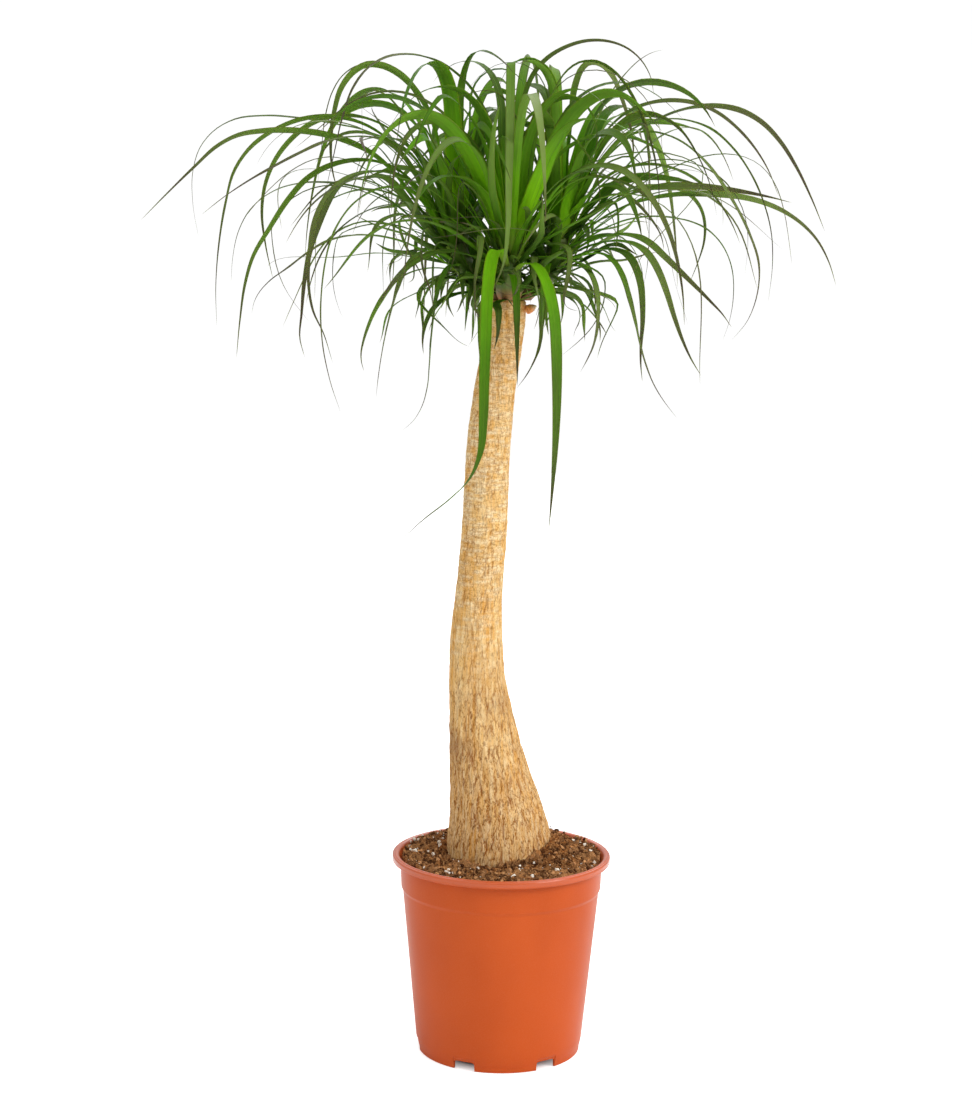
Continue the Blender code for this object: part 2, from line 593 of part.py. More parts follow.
def blade_mesh(foot, leaf, azimuth, extra=0.0):
    # Sections of four corners (edge, keel, edge, channel) carried along the arc with no spin of their
    # own but the leaf's roll, and closed by one tip vertex; extra thickens the blade for clearance tests
    length, width, roll, arc = leaf[2:]
    shares, points, directions = blade_stations(foot, azimuth, length, arc)
    side = Vector((-math.sin(math.radians(azimuth)), math.cos(math.radians(azimuth)), 0.0))
    verts = []
    for share, point, direction in zip(shares[:-1], points, directions):
        ahead = Vector(direction)
        side = (side - ahead * side.dot(ahead)).normalized()
        turn = Matrix.Rotation(math.radians(roll) * share, 3, ahead)
        across = turn @ side
        up = turn @ ahead.cross(side)
        half = 0.5 * (blade_width(share, width) + extra)
        thick = 0.5 * (BLADE_THICKNESS * (1.0 - 0.45 * share) + extra)
        lift = half * BLADE_CHANNEL * min(1.0, 0.5 + 4.0 * share) * (1.0 - 0.6 * share)
        centre = Vector(point)
        verts += [centre + across * half + up * lift, centre - up * thick]
        verts += [centre - across * half + up * lift, centre + up * thick]
    verts.append(Vector(points[-1]))
    faces = [(0, 1, 3), (1, 2, 3)]
    for ring in range(BLADE_STATIONS - 2):
        near = 4 * ring
        for k in range(4):
            faces.append((near + k, near + (k + 1) % 4, near + 4 + (k + 1) % 4, near + 4 + k))
    last = 4 * (BLADE_STATIONS - 2)
    faces += [(last + k, last + (k + 1) % 4, len(verts) - 1) for k in range(4)]
    return verts, faces


def surface_tree(item):
    place = item.matrix_world
    mesh = item.data
    return BVHTree.FromPolygons([place @ v.co for v in mesh.vertices], [p.vertices for p in mesh.polygons])


def seated_blade(leaf, seat, shoot_tree, others):
    # Turns a leaf a little about its shoot until it clears its neighbours
    head, azimuth = leaf[:2]
    for nudge in NUDGES:
        turned_to = azimuth + nudge
        centre, radial, radius = seat_on_shoot(SHOOTS[head], seat, turned_to)
        slant = 0.5 * BLADE_THICKNESS * heading(turned_to, leaf[5][0][1]).cross(radial).length
        foot = centre + radial * (radius + SEAT_GAP + slant)
        verts, faces = blade_mesh(foot, leaf, turned_to)
        if BVHTree.FromPolygons(verts, faces).overlap(shoot_tree):
            continue
        wide_verts, wide_faces = blade_mesh(foot, leaf, turned_to, CLEARANCE)
        wide = BVHTree.FromPolygons(wide_verts, wide_faces)
        if not any(wide.overlap(other) for other in others):
            return verts, faces
    print("no clear seat for a leaf of", head, azimuth)
    return None


def leaf_colour(leaf):
    # Steeper leaves stand in the light at the heart of a head, and are brighter
    share = min(1.0, max(0.0, leaf[5][0][1] / 90.0))
    mixed = [dark + (bright - dark) * share for dark, bright in zip(LEAF_DARK, LEAF_BRIGHT)]
    return (*mixed, 1)


def make_leaves(shoots, solids, parts):
    others = [surface_tree(item) for item in solids]
    trees = {name: surface_tree(item) for name, item in shoots.items()}
    for name in SHOOTS:
        mine = [leaf for leaf in LEAVES if leaf[0] == name]
        mine.sort(key=lambda leaf: leaf[5][0][1])
        rest = [tree for head, tree in trees.items() if head != name]
        for rank, leaf in enumerate(mine):
            seat = (rank + 0.5) / len(mine)
            blade = seated_blade(leaf, seat, trees[name], others + rest)
            if blade is None:
                continue
            mesh = bpy.data.meshes.new(f"leaf_{name}_{rank + 1:02d}")
            mesh.from_pydata(blade[0], [], blade[1])
            item = add_object(mesh.name, mesh, parts)
            bm = bmesh.new()
            bm.from_mesh(mesh)
            bmesh.ops.recalc_face_normals(bm, faces=bm.faces)
            bm.to_mesh(mesh)
            bm.free()
            smooth(mesh, 60)
            give_material(item, leaf_colour(leaf), 0.4)
            others.append(surface_tree(item))


def main():
    remove_everything()
    parts = new_collection(COLLECTION)
    cutters = new_collection("cutters")
    pot = make_pot(parts, cutters)
    soil = make_soil(parts, cutters)
    trunk = make_trunk(parts)
    bud = make_side_bud(parts)
    shoots = {name: make_shoot(name, spec, parts) for name, spec in SHOOTS.items()}
    make_leaves(shoots, [trunk, bud, pot, soil], parts)


main()
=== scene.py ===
import math

import bpy
import numpy as np
from mathutils import Euler, Matrix, Vector
from mathutils.bvhtree import BVHTree


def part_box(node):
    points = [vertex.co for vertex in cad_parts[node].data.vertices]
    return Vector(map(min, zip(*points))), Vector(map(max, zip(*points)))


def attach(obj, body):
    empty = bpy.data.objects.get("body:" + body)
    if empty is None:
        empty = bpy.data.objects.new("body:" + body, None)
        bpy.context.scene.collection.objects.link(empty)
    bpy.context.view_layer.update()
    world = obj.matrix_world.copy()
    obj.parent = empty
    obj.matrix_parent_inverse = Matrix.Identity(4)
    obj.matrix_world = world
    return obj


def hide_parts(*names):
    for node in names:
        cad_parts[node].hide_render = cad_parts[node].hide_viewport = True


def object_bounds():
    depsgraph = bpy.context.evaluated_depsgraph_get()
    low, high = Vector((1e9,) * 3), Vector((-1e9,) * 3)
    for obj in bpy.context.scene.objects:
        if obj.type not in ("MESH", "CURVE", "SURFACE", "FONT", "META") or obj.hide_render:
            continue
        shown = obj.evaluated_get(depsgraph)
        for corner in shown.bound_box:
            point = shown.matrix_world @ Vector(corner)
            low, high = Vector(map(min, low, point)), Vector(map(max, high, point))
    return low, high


# Looks for the potted ponytail palm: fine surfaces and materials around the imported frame.
# Metres, +Z up, the front towards -Y. Azimuths are degrees seen from above, 0 along +X.

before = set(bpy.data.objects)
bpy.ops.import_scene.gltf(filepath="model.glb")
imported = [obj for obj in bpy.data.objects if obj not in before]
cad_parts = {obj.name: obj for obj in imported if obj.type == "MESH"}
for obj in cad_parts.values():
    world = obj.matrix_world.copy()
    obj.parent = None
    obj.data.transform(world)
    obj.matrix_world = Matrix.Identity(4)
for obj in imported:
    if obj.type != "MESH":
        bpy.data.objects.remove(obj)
cadBox = [list(corner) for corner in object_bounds()]
scene = bpy.context.scene

# The camera looks along +Y, tilted down and rolled about its own view line, both in degrees
camera = {"place": (-0.0214, -2.5, 0.909), "down": 8.1, "roll": 0.8, "lens": 75.87, "farthest": 60}


def makeCamera():
    item = bpy.data.objects.new("camera", bpy.data.cameras.new("camera"))
    scene.collection.objects.link(item)
    item.data.lens = camera["lens"]
    item.data.clip_end = camera["farthest"]
    tilt = Euler((math.radians(90 - camera["down"]), 0, 0)).to_matrix()
    spin = Matrix.Rotation(math.radians(camera["roll"]), 3, "Z")
    item.rotation_euler = (tilt @ spin).to_euler()
    item.location = camera["place"]
    scene.camera = item


makeCamera()
print("camera set")


# Shapes from arrays

def ease(low, high, x):
    # 0 below low, 1 above high, and an S curve between: 3t^2 - 2t^3
    t = np.clip((x - low) / (high - low), 0, 1)
    return t * t * (3 - 2 * t)


def unit(vectors):
    return vectors / np.linalg.norm(vectors, axis=-1, keepdims=True)


def lumps(u, v, seed, around):
    # Lattice noise from -1 to 1: seeded heights at the whole numbers of u and v, eased between them;
    # u repeats after a whole number of cells, so it closes round a ring
    rows = 512
    table = np.random.default_rng(seed).uniform(-1, 1, (rows, around))
    u, v = np.broadcast_arrays(u, v)
    iu, iv = np.floor(u).astype(int), np.floor(v).astype(int)
    fu, fv = ease(0, 1, u - iu), ease(0, 1, v - iv)
    low, high = (table[row % rows, iu % around] * (1 - fu) + table[row % rows, (iu + 1) % around] * fu
                 for row in (iv, iv + 1))
    return low * (1 - fv) + high * fv


def through(at, values, where):
    # Cubic Hermite curve through stations: each slope is the mean of the runs on its two sides
    slope = np.gradient(values, at, axis=0)
    k = np.clip(np.searchsorted(at, where, "right") - 1, 0, len(at) - 2)
    run = (at[k + 1] - at[k])[:, None]
    t = (where - at[k])[:, None] / run
    return ((2 * t**3 - 3 * t**2 + 1) * values[k] + (t**3 - 2 * t**2 + t) * run * slope[k]
            + (3 * t**2 - 2 * t**3) * values[k + 1] + (t**3 - t**2) * run * slope[k + 1])


def roundRings(x, y, radius, angle, z):
    # Rings of points (x + r cos a, y + r sin a, z), a row for each height
    return np.stack(np.broadcast_arrays(x + radius * np.cos(angle), y + radius * np.sin(angle), z), -1)


def addMark(mesh, title, values):
    values = np.ascontiguousarray(values, np.float32)
    mesh.attributes.new(title, "FLOAT", "POINT").data.foreach_set("value", values)


def ringMesh(name, rings, marks, tips=None):
    # rings[piece, row, column] are closed rings of points, and one piece may leave the first axis out. Each
    # ring joins the next one by quads, the first ring gets a flat cap, and the last one a cap, or a point
    # where tips[piece] gives one. marks are the values of the points, by attribute
    rings = rings.reshape(-1, *rings.shape[-3:])
    pieces, rows, columns = rings.shape[:3]
    row, column = np.meshgrid(np.arange(rows - 1), np.arange(columns), indexing="ij")
    after = (column + 1) % columns
    quads = np.stack([row * columns + column, row * columns + after,
                      (row + 1) * columns + after, (row + 1) * columns + column], -1).reshape(-1, 4)
    start = (np.arange(pieces) * rows * columns)[:, None, None]
    faces = (quads + start).reshape(-1, 4)
    points = rings.reshape(-1, 3)
    a, b, c, d = (points[faces[:, side]] for side in range(4))
    outward = np.einsum("ij,ij->i", a + c, np.cross(c - a, d - b)).sum() > 0
    ring = np.arange(columns)
    last = ring + (rows - 1) * columns
    caps = (ring[::-1] + start[:, 0]).tolist()
    if tips is None:
        caps += (last + start[:, 0]).tolist()
    else:
        tipIndex = len(points) + np.arange(pieces)
        fan = np.stack([last, np.roll(last, -1)], -1)[None] + start
        fan = np.concatenate([fan, np.broadcast_to(tipIndex[:, None, None], (pieces, columns, 1))], -1)
        caps += fan.reshape(-1, 3).tolist()
        points = np.vstack([points, tips])
    everyFace = faces.tolist() + caps
    if not outward:
        everyFace = [face[::-1] for face in everyFace]
    mesh = bpy.data.meshes.new(name)
    mesh.from_pydata(points, [], everyFace)
    for title, values in marks.items():
        values = np.broadcast_to(values, rings.shape[:3])
        atTips = [] if tips is None else values[:, -1].mean(-1)
        addMark(mesh, title, np.concatenate([values.reshape(-1), atTips]))
    return mesh


def addPiece(name, mesh, material, stands=(), sharp=None):
    # Puts a finished mesh into the scene, riding on the one body, and hides the CAD nodes it stands for.
    # Edges sharper than a given angle in degrees stay sharp
    mesh.validate()
    mesh.shade_smooth()
    if sharp is not None:
        mesh.set_sharp_from_angle(angle=math.radians(sharp))
    piece = bpy.data.objects.new(name, mesh)
    scene.collection.objects.link(piece)
    mesh.materials.append(material)
    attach(piece, "root")
    if stands:
        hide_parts(*stands)
    return piece


def mergedNode(name):
    # A CAD node's corners without doubles, and its triangles on them
    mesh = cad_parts[name].data
    points = np.empty(len(mesh.vertices) * 3, np.float32)
    mesh.vertices.foreach_get("co", points)
    loops = np.empty(len(mesh.loops), np.int32)
    mesh.loops.foreach_get("vertex_index", loops)
    kept, where = np.unique(points.reshape(-1, 3).round(6), axis=0, return_inverse=True)
    return kept.astype(float), where.reshape(-1)[loops].reshape(-1, 3)


def slices(name, heights):
    # Centre and radius of a CAD node's outline at each height, from the edges that cross it
    points, triangles = mergedNode(name)
    edges = np.unique(np.sort(triangles[:, [0, 1, 1, 2, 2, 0]].reshape(-1, 2), 1), axis=0)
    a, b = points[edges[:, 0]], points[edges[:, 1]]
    found = []
    for z in heights:
        cross = (a[:, 2] - z) * (b[:, 2] - z) < 0
        t = ((z - a[cross, 2]) / (b[cross, 2] - a[cross, 2]))[:, None]
        rim = a[cross] * (1 - t) + b[cross] * t
        centre = 0.5 * (rim[:, :2].min(0) + rim[:, :2].max(0))
        found.append((*centre, np.linalg.norm(rim[:, :2] - centre, axis=1).max()))
    return np.array(found)


def grownFrame(name, heights, aboveFoot, belowTop, count):
    # Centre x, y and radius of a grown CAD node at any height, on a smooth curve through slices of it
    low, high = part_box(name)
    at = np.linspace(low.z + aboveFoot, high.z - belowTop, count)
    return through(at, slices(name, at), np.clip(heights, at[0], at[-1]))


# Shader helpers

def feed(tree, socket, value):
    if isinstance(value, bpy.types.NodeSocket):
        tree.links.new(value, socket)
    else:
        socket.default_value = value


def node(tree, kind, inputs=None, **settings):
    # A shader node with its settings, and each input either linked to a socket or set to a value
    made = tree.nodes.new(kind)
    for key, value in settings.items():
        setattr(made, key, value)
    for key, value in (inputs or {}).items():
        feed(tree, made.inputs[key], value)
    return made


def mark(tree, title):
    return node(tree, "ShaderNodeAttribute", attribute_name=title).outputs["Fac"]


def objectPlace(tree):
    return node(tree, "ShaderNodeTexCoord").outputs["Object"]


def heightOf(tree, place):
    return node(tree, "ShaderNodeSeparateXYZ", {0: place}).outputs["Z"]


def calc(tree, operation, a, b=0.5):
    return node(tree, "ShaderNodeMath", {0: a, 1: b}, operation=operation).outputs[0]


def times(tree, product, *others):
    for other in others:
        product = calc(tree, "MULTIPLY", product, other)
    return product


def remap(tree, value, low, high, toLow=0.0, toHigh=1.0):
    return node(tree, "ShaderNodeMapRange", {"Value": value, "From Min": low, "From Max": high,
                                             "To Min": toLow, "To Max": toHigh}).outputs["Result"]


def blend(tree, mask, a, b, kind="MIX"):
    made = node(tree, "ShaderNodeMix", {0: mask}, data_type="RGBA", blend_type=kind)
    for index, colour in ((6, a), (7, b)):
        feed(tree, made.inputs[index], (*colour, 1) if isinstance(colour, tuple) else colour)
    return made.outputs[2]


def layer(tree, under, over, *masks):
    # The colour over laid on the colour under, as strong as the product of its masks and shares
    return blend(tree, times(tree, *masks), under, over)


def newGroup(name, inputs, outputs):
    group = bpy.data.node_groups.new(name, "ShaderNodeTree")
    for title, kind, value in inputs:
        socket = group.interface.new_socket(title, in_out="INPUT", socket_type=kind)
        if value is not None:
            socket.default_value = value
    for title, kind in outputs:
        group.interface.new_socket(title, in_out="OUTPUT", socket_type=kind)
    start = group.nodes.new("NodeGroupInput")
    end = group.nodes.new("NodeGroupOutput")
    return group, start.outputs, end.inputs


def makeGrainGroup():
    # Streaky grain: noise on a place that is stretched per axis, cut to a mask between two levels
    group, take, give = newGroup("grain", [
        ("Place", "NodeSocketVector", None), ("Stretch", "NodeSocketVector", (1, 1, 1)),
        ("Scale", "NodeSocketFloat", 100.0), ("Detail", "NodeSocketFloat", 4.0),
        ("Low", "NodeSocketFloat", 0.35), ("High", "NodeSocketFloat", 0.65)], [("Mask", "NodeSocketFloat")])
    place = node(group, "ShaderNodeVectorMath", {0: take["Place"], 1: take["Stretch"]}, operation="MULTIPLY")
    noise = node(group, "ShaderNodeTexNoise", {"Vector": place.outputs[0], "Scale": take["Scale"],
                                               "Detail": take["Detail"]})
    feed(group, give["Mask"], remap(group, noise.outputs["Fac"], take["Low"], take["High"]))
    return group


grainGroup = makeGrainGroup()


def grain(tree, place, stretch, scale, detail=4.0, low=0.35, high=0.65):
    values = {"Place": place, "Stretch": stretch, "Scale": scale, "Detail": detail, "Low": low, "High": high}
    made = node(tree, "ShaderNodeGroup", node_tree=grainGroup)
    for key, value in values.items():
        feed(tree, made.inputs[key], value)
    return made.outputs["Mask"]


def newMaterial(name, roughness, specular=0.5):
    made = bpy.data.materials.new(name)
    made.use_nodes = True
    shader = made.node_tree.nodes["Principled BSDF"]
    shader.inputs["Roughness"].default_value = roughness
    shader.inputs["Specular IOR Level"].default_value = specular
    return made, made.node_tree, shader


def coat(tree, shader, colour, relief, strength, distance):
    # The finished colour, and a bump from the relief, its distance in metres
    feed(tree, shader.inputs["Base Color"], colour)
    bump = node(tree, "ShaderNodeBump", {"Height": relief, "Strength": strength, "Distance": distance})
    feed(tree, shader.inputs["Normal"], bump.outputs["Normal"])


# Pot: one moulded shell, pressed up into notches between its feet

pot = {
    "sides": 288,
    "feet": 6,
    "firstFoot": -85.0,         # azimuth of the middle of one foot
    "notchHalf": 7.9,           # half the notch's width, degrees
    "notchHeight": 0.0095,
    "notchPower": 7,            # the higher, the squarer the notch
    "edgeSteps": (-1.4, -0.7, -0.32, -0.14, -0.05, 0.0, 0.05, 0.3),     # added angles at a notch's side
    "edgeClear": 0.35,          # even angles nearer to them than this are left out
    "footTop": 0.0143,
    "footInside": 0.06,         # nothing inside this radius is pressed up
    "drainCircle": 0.070,
    "drainRadius": 0.0045,
    "drillDepth": 0.010,
    "floor": 0.0120,            # height of the floor's middle
    "outline": (                # radius, height, rounding of the corner
        (0.0868, 0.0130, 0.0035), (0.1055, 0.1785, 0.0010), (0.1078, 0.1845, 0.0010),
        (0.1090, 0.2125, 0.0020), (0.1122, 0.2192, 0.0022), (0.1138, 0.2206, 0.0008),
        (0.1166, 0.2213, 0.0010), (0.1176, 0.2200, 0.0006), (0.1186, 0.2205, 0.0007),
        (0.1200, 0.2192, 0.0014), (0.1200, 0.2140, 0.0012), (0.1188, 0.2128, 0.0008),
        (0.1112, 0.2140, 0.0008), (0.1109, 0.2090, 0.0010), (0.1099, 0.1840, 0.0007),
        (0.1079, 0.1802, 0.0010), (0.1075, 0.1750, 0.0010), (0.0918, 0.0143, 0.0012),
        (0.0910, 0.0100, 0.0012), (0.0898, 0.0050, 0.0010), (0.0893, 0.0000, 0.0007),
        (0.0867, 0.0000, 0.0007), (0.0867, 0.0110, 0.0009)),
    "cornerSteps": 7,
    "longestRun": 0.012,
    "colour": (0.580, 0.089, 0.011),
    "shade": (0.520, 0.076, 0.009),
    "dust": (0.680, 0.220, 0.100),
    "roughness": 0.33,
    "rimGloss": (0.2130, 0.2160),       # heights between which the rim turns glossier
}
potPitch = 360.0 / pot["feet"]


def roundedRun(corners, steps, longest):
    # Each corner becomes a short curve (1-t)^2 A + 2t(1-t) C + t^2 B, with A and B a rounding away from C,
    # or 0.45 of the run where that is less. Long straight runs get points between, and the run starts and
    # ends part of the way in from its first and last corner
    corners = np.array(corners)
    place, roundings = corners[:, :2], corners[:, 2]
    start, end = place[:1] * (0.4, 1), place[-1:] * (0.4, 1)
    path = np.vstack([place[:1] * (0, 1), place, place[-1:] * (0, 1)])
    t = np.linspace(0, 1, steps)[:, None]
    run = [start]
    for before, here, beyond, rounding in zip(path, path[1:], path[2:], roundings):
        a, b = (here + (other - here) * min(0.45, rounding / np.linalg.norm(other - here))
                for other in (before, beyond))
        last = run[-1][-1]
        gap = int(np.linalg.norm(a - last) / longest)
        if gap > 1:
            run.append(last + (a - last) * (np.arange(1, gap) / gap)[:, None])
        run.append((1 - t)**2 * a + 2 * t * (1 - t) * here + t**2 * b)
    return np.vstack(run + [end])


def potAngles():
    # Even angles, drawn closer together at the sides of each notch
    edges = pot["notchHalf"] + np.array(pot["edgeSteps"])
    even = np.linspace(0, potPitch, pot["sides"] // pot["feet"], endpoint=False) - 0.5 * potPitch
    clear = np.min(np.abs(np.abs(even)[:, None] - edges), 1) > pot["edgeClear"]
    sector = np.sort(np.concatenate([even[clear], edges, -edges]))
    return np.concatenate([sector + pot["firstFoot"] + potPitch * (k + 0.5) for k in range(pot["feet"])])


def makePot(material):
    # Point(angle, run) = (r cos a, r sin a, z), with z pressed up inside a notch to
    # z + notch (1 - z / footTop), notch = height (1 - |offset / half|^7)^(1/7)
    angles = potAngles()
    profile = roundedRun(pot["outline"], pot["cornerSteps"], pot["longestRun"])
    offset = (angles - pot["firstFoot"]) % potPitch - 0.5 * potPitch
    inside = np.clip(1 - np.abs(offset / pot["notchHalf"])**pot["notchPower"], 0, 1)
    notch = pot["notchHeight"] * inside**(1 / pot["notchPower"])
    r, z = profile[:, :1], profile[:, 1:]
    outer = np.arange(len(profile))[:, None] > np.argmax(profile[:, 0])
    low = outer & (z < pot["footTop"]) & (r > pot["footInside"])
    lifted = np.where(low, z + notch * (1 - z / pot["footTop"]), z)
    mesh = ringMesh("pot", roundRings(0, 0, r, np.radians(angles), lifted), {})
    return addPiece("plasticPot", mesh, material, ["pot"], sharp=38)


def drillDrains(piece):
    # The drain holes are cut by upright cylinders between the feet
    drills = []
    for k in range(pot["feet"]):
        angle = math.radians(pot["firstFoot"] + (k + 0.5) * potPitch)
        x, y = pot["drainCircle"] * math.cos(angle), pot["drainCircle"] * math.sin(angle)
        bpy.ops.mesh.primitive_cylinder_add(vertices=28, radius=pot["drainRadius"], depth=pot["drillDepth"],
                                            location=(x, y, pot["floor"]))
        drills.append(bpy.context.active_object)
    for drill in drills:
        cut = piece.modifiers.new("drain", "BOOLEAN")
        cut.operation = "DIFFERENCE"
        cut.solver = "EXACT"
        cut.object = drill
    bpy.context.view_layer.update()
    shape = bpy.data.meshes.new_from_object(piece.evaluated_get(bpy.context.evaluated_depsgraph_get()))
    piece.modifiers.clear()
    piece.data = shape
    for drill in drills:
        bpy.data.objects.remove(drill, do_unlink=True)


def potPlastic():
    # Two close oranges in broad clouds, under a fine pale dust; the rim has a glossy coat
    made, tree, shader = newMaterial("potPlastic", pot["roughness"], 0.16)
    place = objectPlace(tree)
    cloud = grain(tree, place, (1, 1, 0.6), 16.0, 2.0, 0.3, 0.7)
    speck = grain(tree, place, (1, 1, 1), 900.0, 2.0, 0.40, 0.75)
    colour = blend(tree, cloud, pot["shade"], pot["colour"])
    colour = layer(tree, colour, pot["dust"], speck, 0.10)
    satin = remap(tree, cloud, 0, 1, pot["roughness"] + 0.05, pot["roughness"] - 0.03)
    feed(tree, shader.inputs["Roughness"], satin)
    feed(tree, shader.inputs["Coat Weight"], remap(tree, heightOf(tree, place), *pot["rimGloss"]))
    shader.inputs["Coat Roughness"].default_value = 0.16
    coat(tree, shader, colour, speck, 0.12, 0.0002)
    return made


drillDrains(makePot(potPlastic()))
print("pot made")


# Trunk: one grown piece, fissured at the foot and scarred by fallen leaves above

trunk = {
    "around": 256,
    "slicing": (0.003, 0.0005, 40),     # how far from its foot and top it is sliced, and how often
    "coarseRows": 12,                   # under the soil
    "soilLine": 0.205,
    "middle": 0.42,
    "spacing": (0.0023, 0.0016),        # of the rings below the middle and above it
    "topRows": (0.0018, 0.0009, 0.0003, 0.0),       # the last rings, down from its top
    "topRounding": 0.0022,
    "crackDepth": 0.0015,
    "plateDepth": 0.0006,
    "waveDepth": 0.0016,
    "scarDepth": 0.00045,
    "scarFrom": 0.40,
    "scarPitch": 0.0047,
    "fissures": (               # how many, then from and to: height, half length, half width, strength
        (560, (0.215, 0.40), (0.004, 0.015), (0.0013, 0.0024), (0.4, 1.0)),
        (440, (0.33, 0.56), (0.004, 0.014), (0.0010, 0.0019), (0.3, 0.9)),
        (620, (0.48, 0.82), (0.003, 0.011), (0.0008, 0.0015), (0.2, 0.8))),
    "pale": (0.970, 0.760, 0.410),
    "tan": (0.915, 0.592, 0.225),
    "orange": (0.830, 0.428, 0.108),
    "grey": (0.380, 0.250, 0.145),
    "cream": (1.000, 0.870, 0.570),
    "footTint": (0.860, 0.850, 0.930),
    # a redder tone, painted as the crown's shade on the bark under it
    "crownShadeRed": (1.000, 0.480, 0.110),
    "levelLine": (0.420, 0.145, 0.006),
    "shortLine": (0.450, 0.148, 0.006),
    "tallLine": (0.330, 0.090, 0.002),
    "fleck": (0.200, 0.060, 0.006),
    "crack": (0.240, 0.050, 0.000),
}


def trunkFrame(heights):
    return grownFrame("trunk", heights, *trunk["slicing"])


def stamp(field, z, u, radius, marks, power):
    # Presses short marks into a field of (height, turn): strength (1 - t^2)^1/2 (1 - |side / half|^power),
    # with t from -1 to 1 along the mark and side the distance round the stem from its leaning, wavering line
    for turn, place, long, half, lean, waver, strength in np.array(marks).T:
        near = np.abs(z - place) < long
        t = (z[near] - place)[:, None] / long
        side = ((u[None] - turn + 0.5) % 1 - 0.5) * 2 * np.pi * radius[near][:, None]
        side = side - lean * t - waver * np.sin(5.0 * t + 40 * turn)
        pressed = strength * np.sqrt(1 - t * t) * np.clip(1 - np.abs(side / half)**power, 0, 1)
        field[near] = np.maximum(field[near], pressed)


def trunkMarks(rows, share, radius, top):
    # Fissures are steep and crowd together towards the foot; scars are short level bars in rings
    rng = np.random.default_rng(31)
    crack, scar = np.zeros((2, len(rows), len(share)))
    for count, span, long, half, strength in trunk["fissures"]:
        marks = [rng.uniform(0, 1, count), rng.uniform(*span, count), rng.uniform(*long, count),
                 rng.uniform(*half, count), rng.normal(0, 0.0030, count), rng.uniform(0, 0.0018, count),
                 rng.uniform(*strength, count)]
        stamp(crack, rows, share, radius, marks, 1.0)
    for level in np.arange(trunk["scarFrom"], top, trunk["scarPitch"]):
        count = rng.integers(9, 15)
        marks = [rng.uniform(0, 1, count), level + rng.normal(0, 0.0006, count),
                 rng.uniform(0.0016, 0.0025, count), rng.uniform(0.004, 0.010, count), np.zeros(count),
                 np.zeros(count), rng.uniform(0.4, 1.0, count) * ease(0.36, 0.56, level)]
        stamp(scar, rows, share, radius, marks, 4.0)
    return crack, scar * (1 - crack)


def makeTrunk(material):
    # r(angle, z) = R(z) - fissures + plates + scars + broad waves, with R the CAD trunk's own radius, and its
    # top edge rounded off by rounding (1 - (1 - t^2)^1/2)
    low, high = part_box("trunk")
    wide, close = trunk["spacing"]
    rows = np.concatenate([np.linspace(low.z, trunk["soilLine"], trunk["coarseRows"], endpoint=False),
                           np.arange(trunk["soilLine"], trunk["middle"], wide),
                           np.arange(trunk["middle"], high.z - 0.002, close),
                           high.z - np.array(trunk["topRows"])])
    base = trunkFrame(rows)
    share = np.arange(trunk["around"]) / trunk["around"]
    crack, scar = trunkMarks(rows, share, base[:, 2], high.z)
    z, u = rows[:, None], share[None]
    x, y, radius = base.T[..., None]
    footShare = 1 - ease(0.28, 0.50, z)
    plate = lumps(u * 30, z / 0.014, 25, 30) + 0.6 * lumps(u * 66, z / 0.007, 26, 66)
    r = (radius - trunk["crackDepth"] * crack * (0.45 + 0.75 * footShare)
         + trunk["plateDepth"] * plate * (0.45 + 0.8 * footShare) + trunk["scarDepth"] * scar
         + trunk["waveDepth"] * lumps(u * 5, z / 0.09, 30, 5))
    t = np.clip((z - (high.z - 0.0025)) / 0.0027, 0, 1)
    r = r - trunk["topRounding"] * (1 - np.sqrt(1 - t**2))
    mesh = ringMesh("trunk", roundRings(x, y, r, 2 * np.pi * u, z), {"crack": crack, "scar": scar})
    return addPiece("barkTrunk", mesh, material, ["trunk"])


def hairlines(tree, place, stretch, scale, width):
    # Thin wandering lines: where a grain crosses its middle value, |grain - 1/2| < width
    apart = calc(tree, "SUBTRACT", grain(tree, place, stretch, scale, 5.0, 0.30, 0.70), 0.5)
    return remap(tree, calc(tree, "ABSOLUTE", apart), width, 0.0)


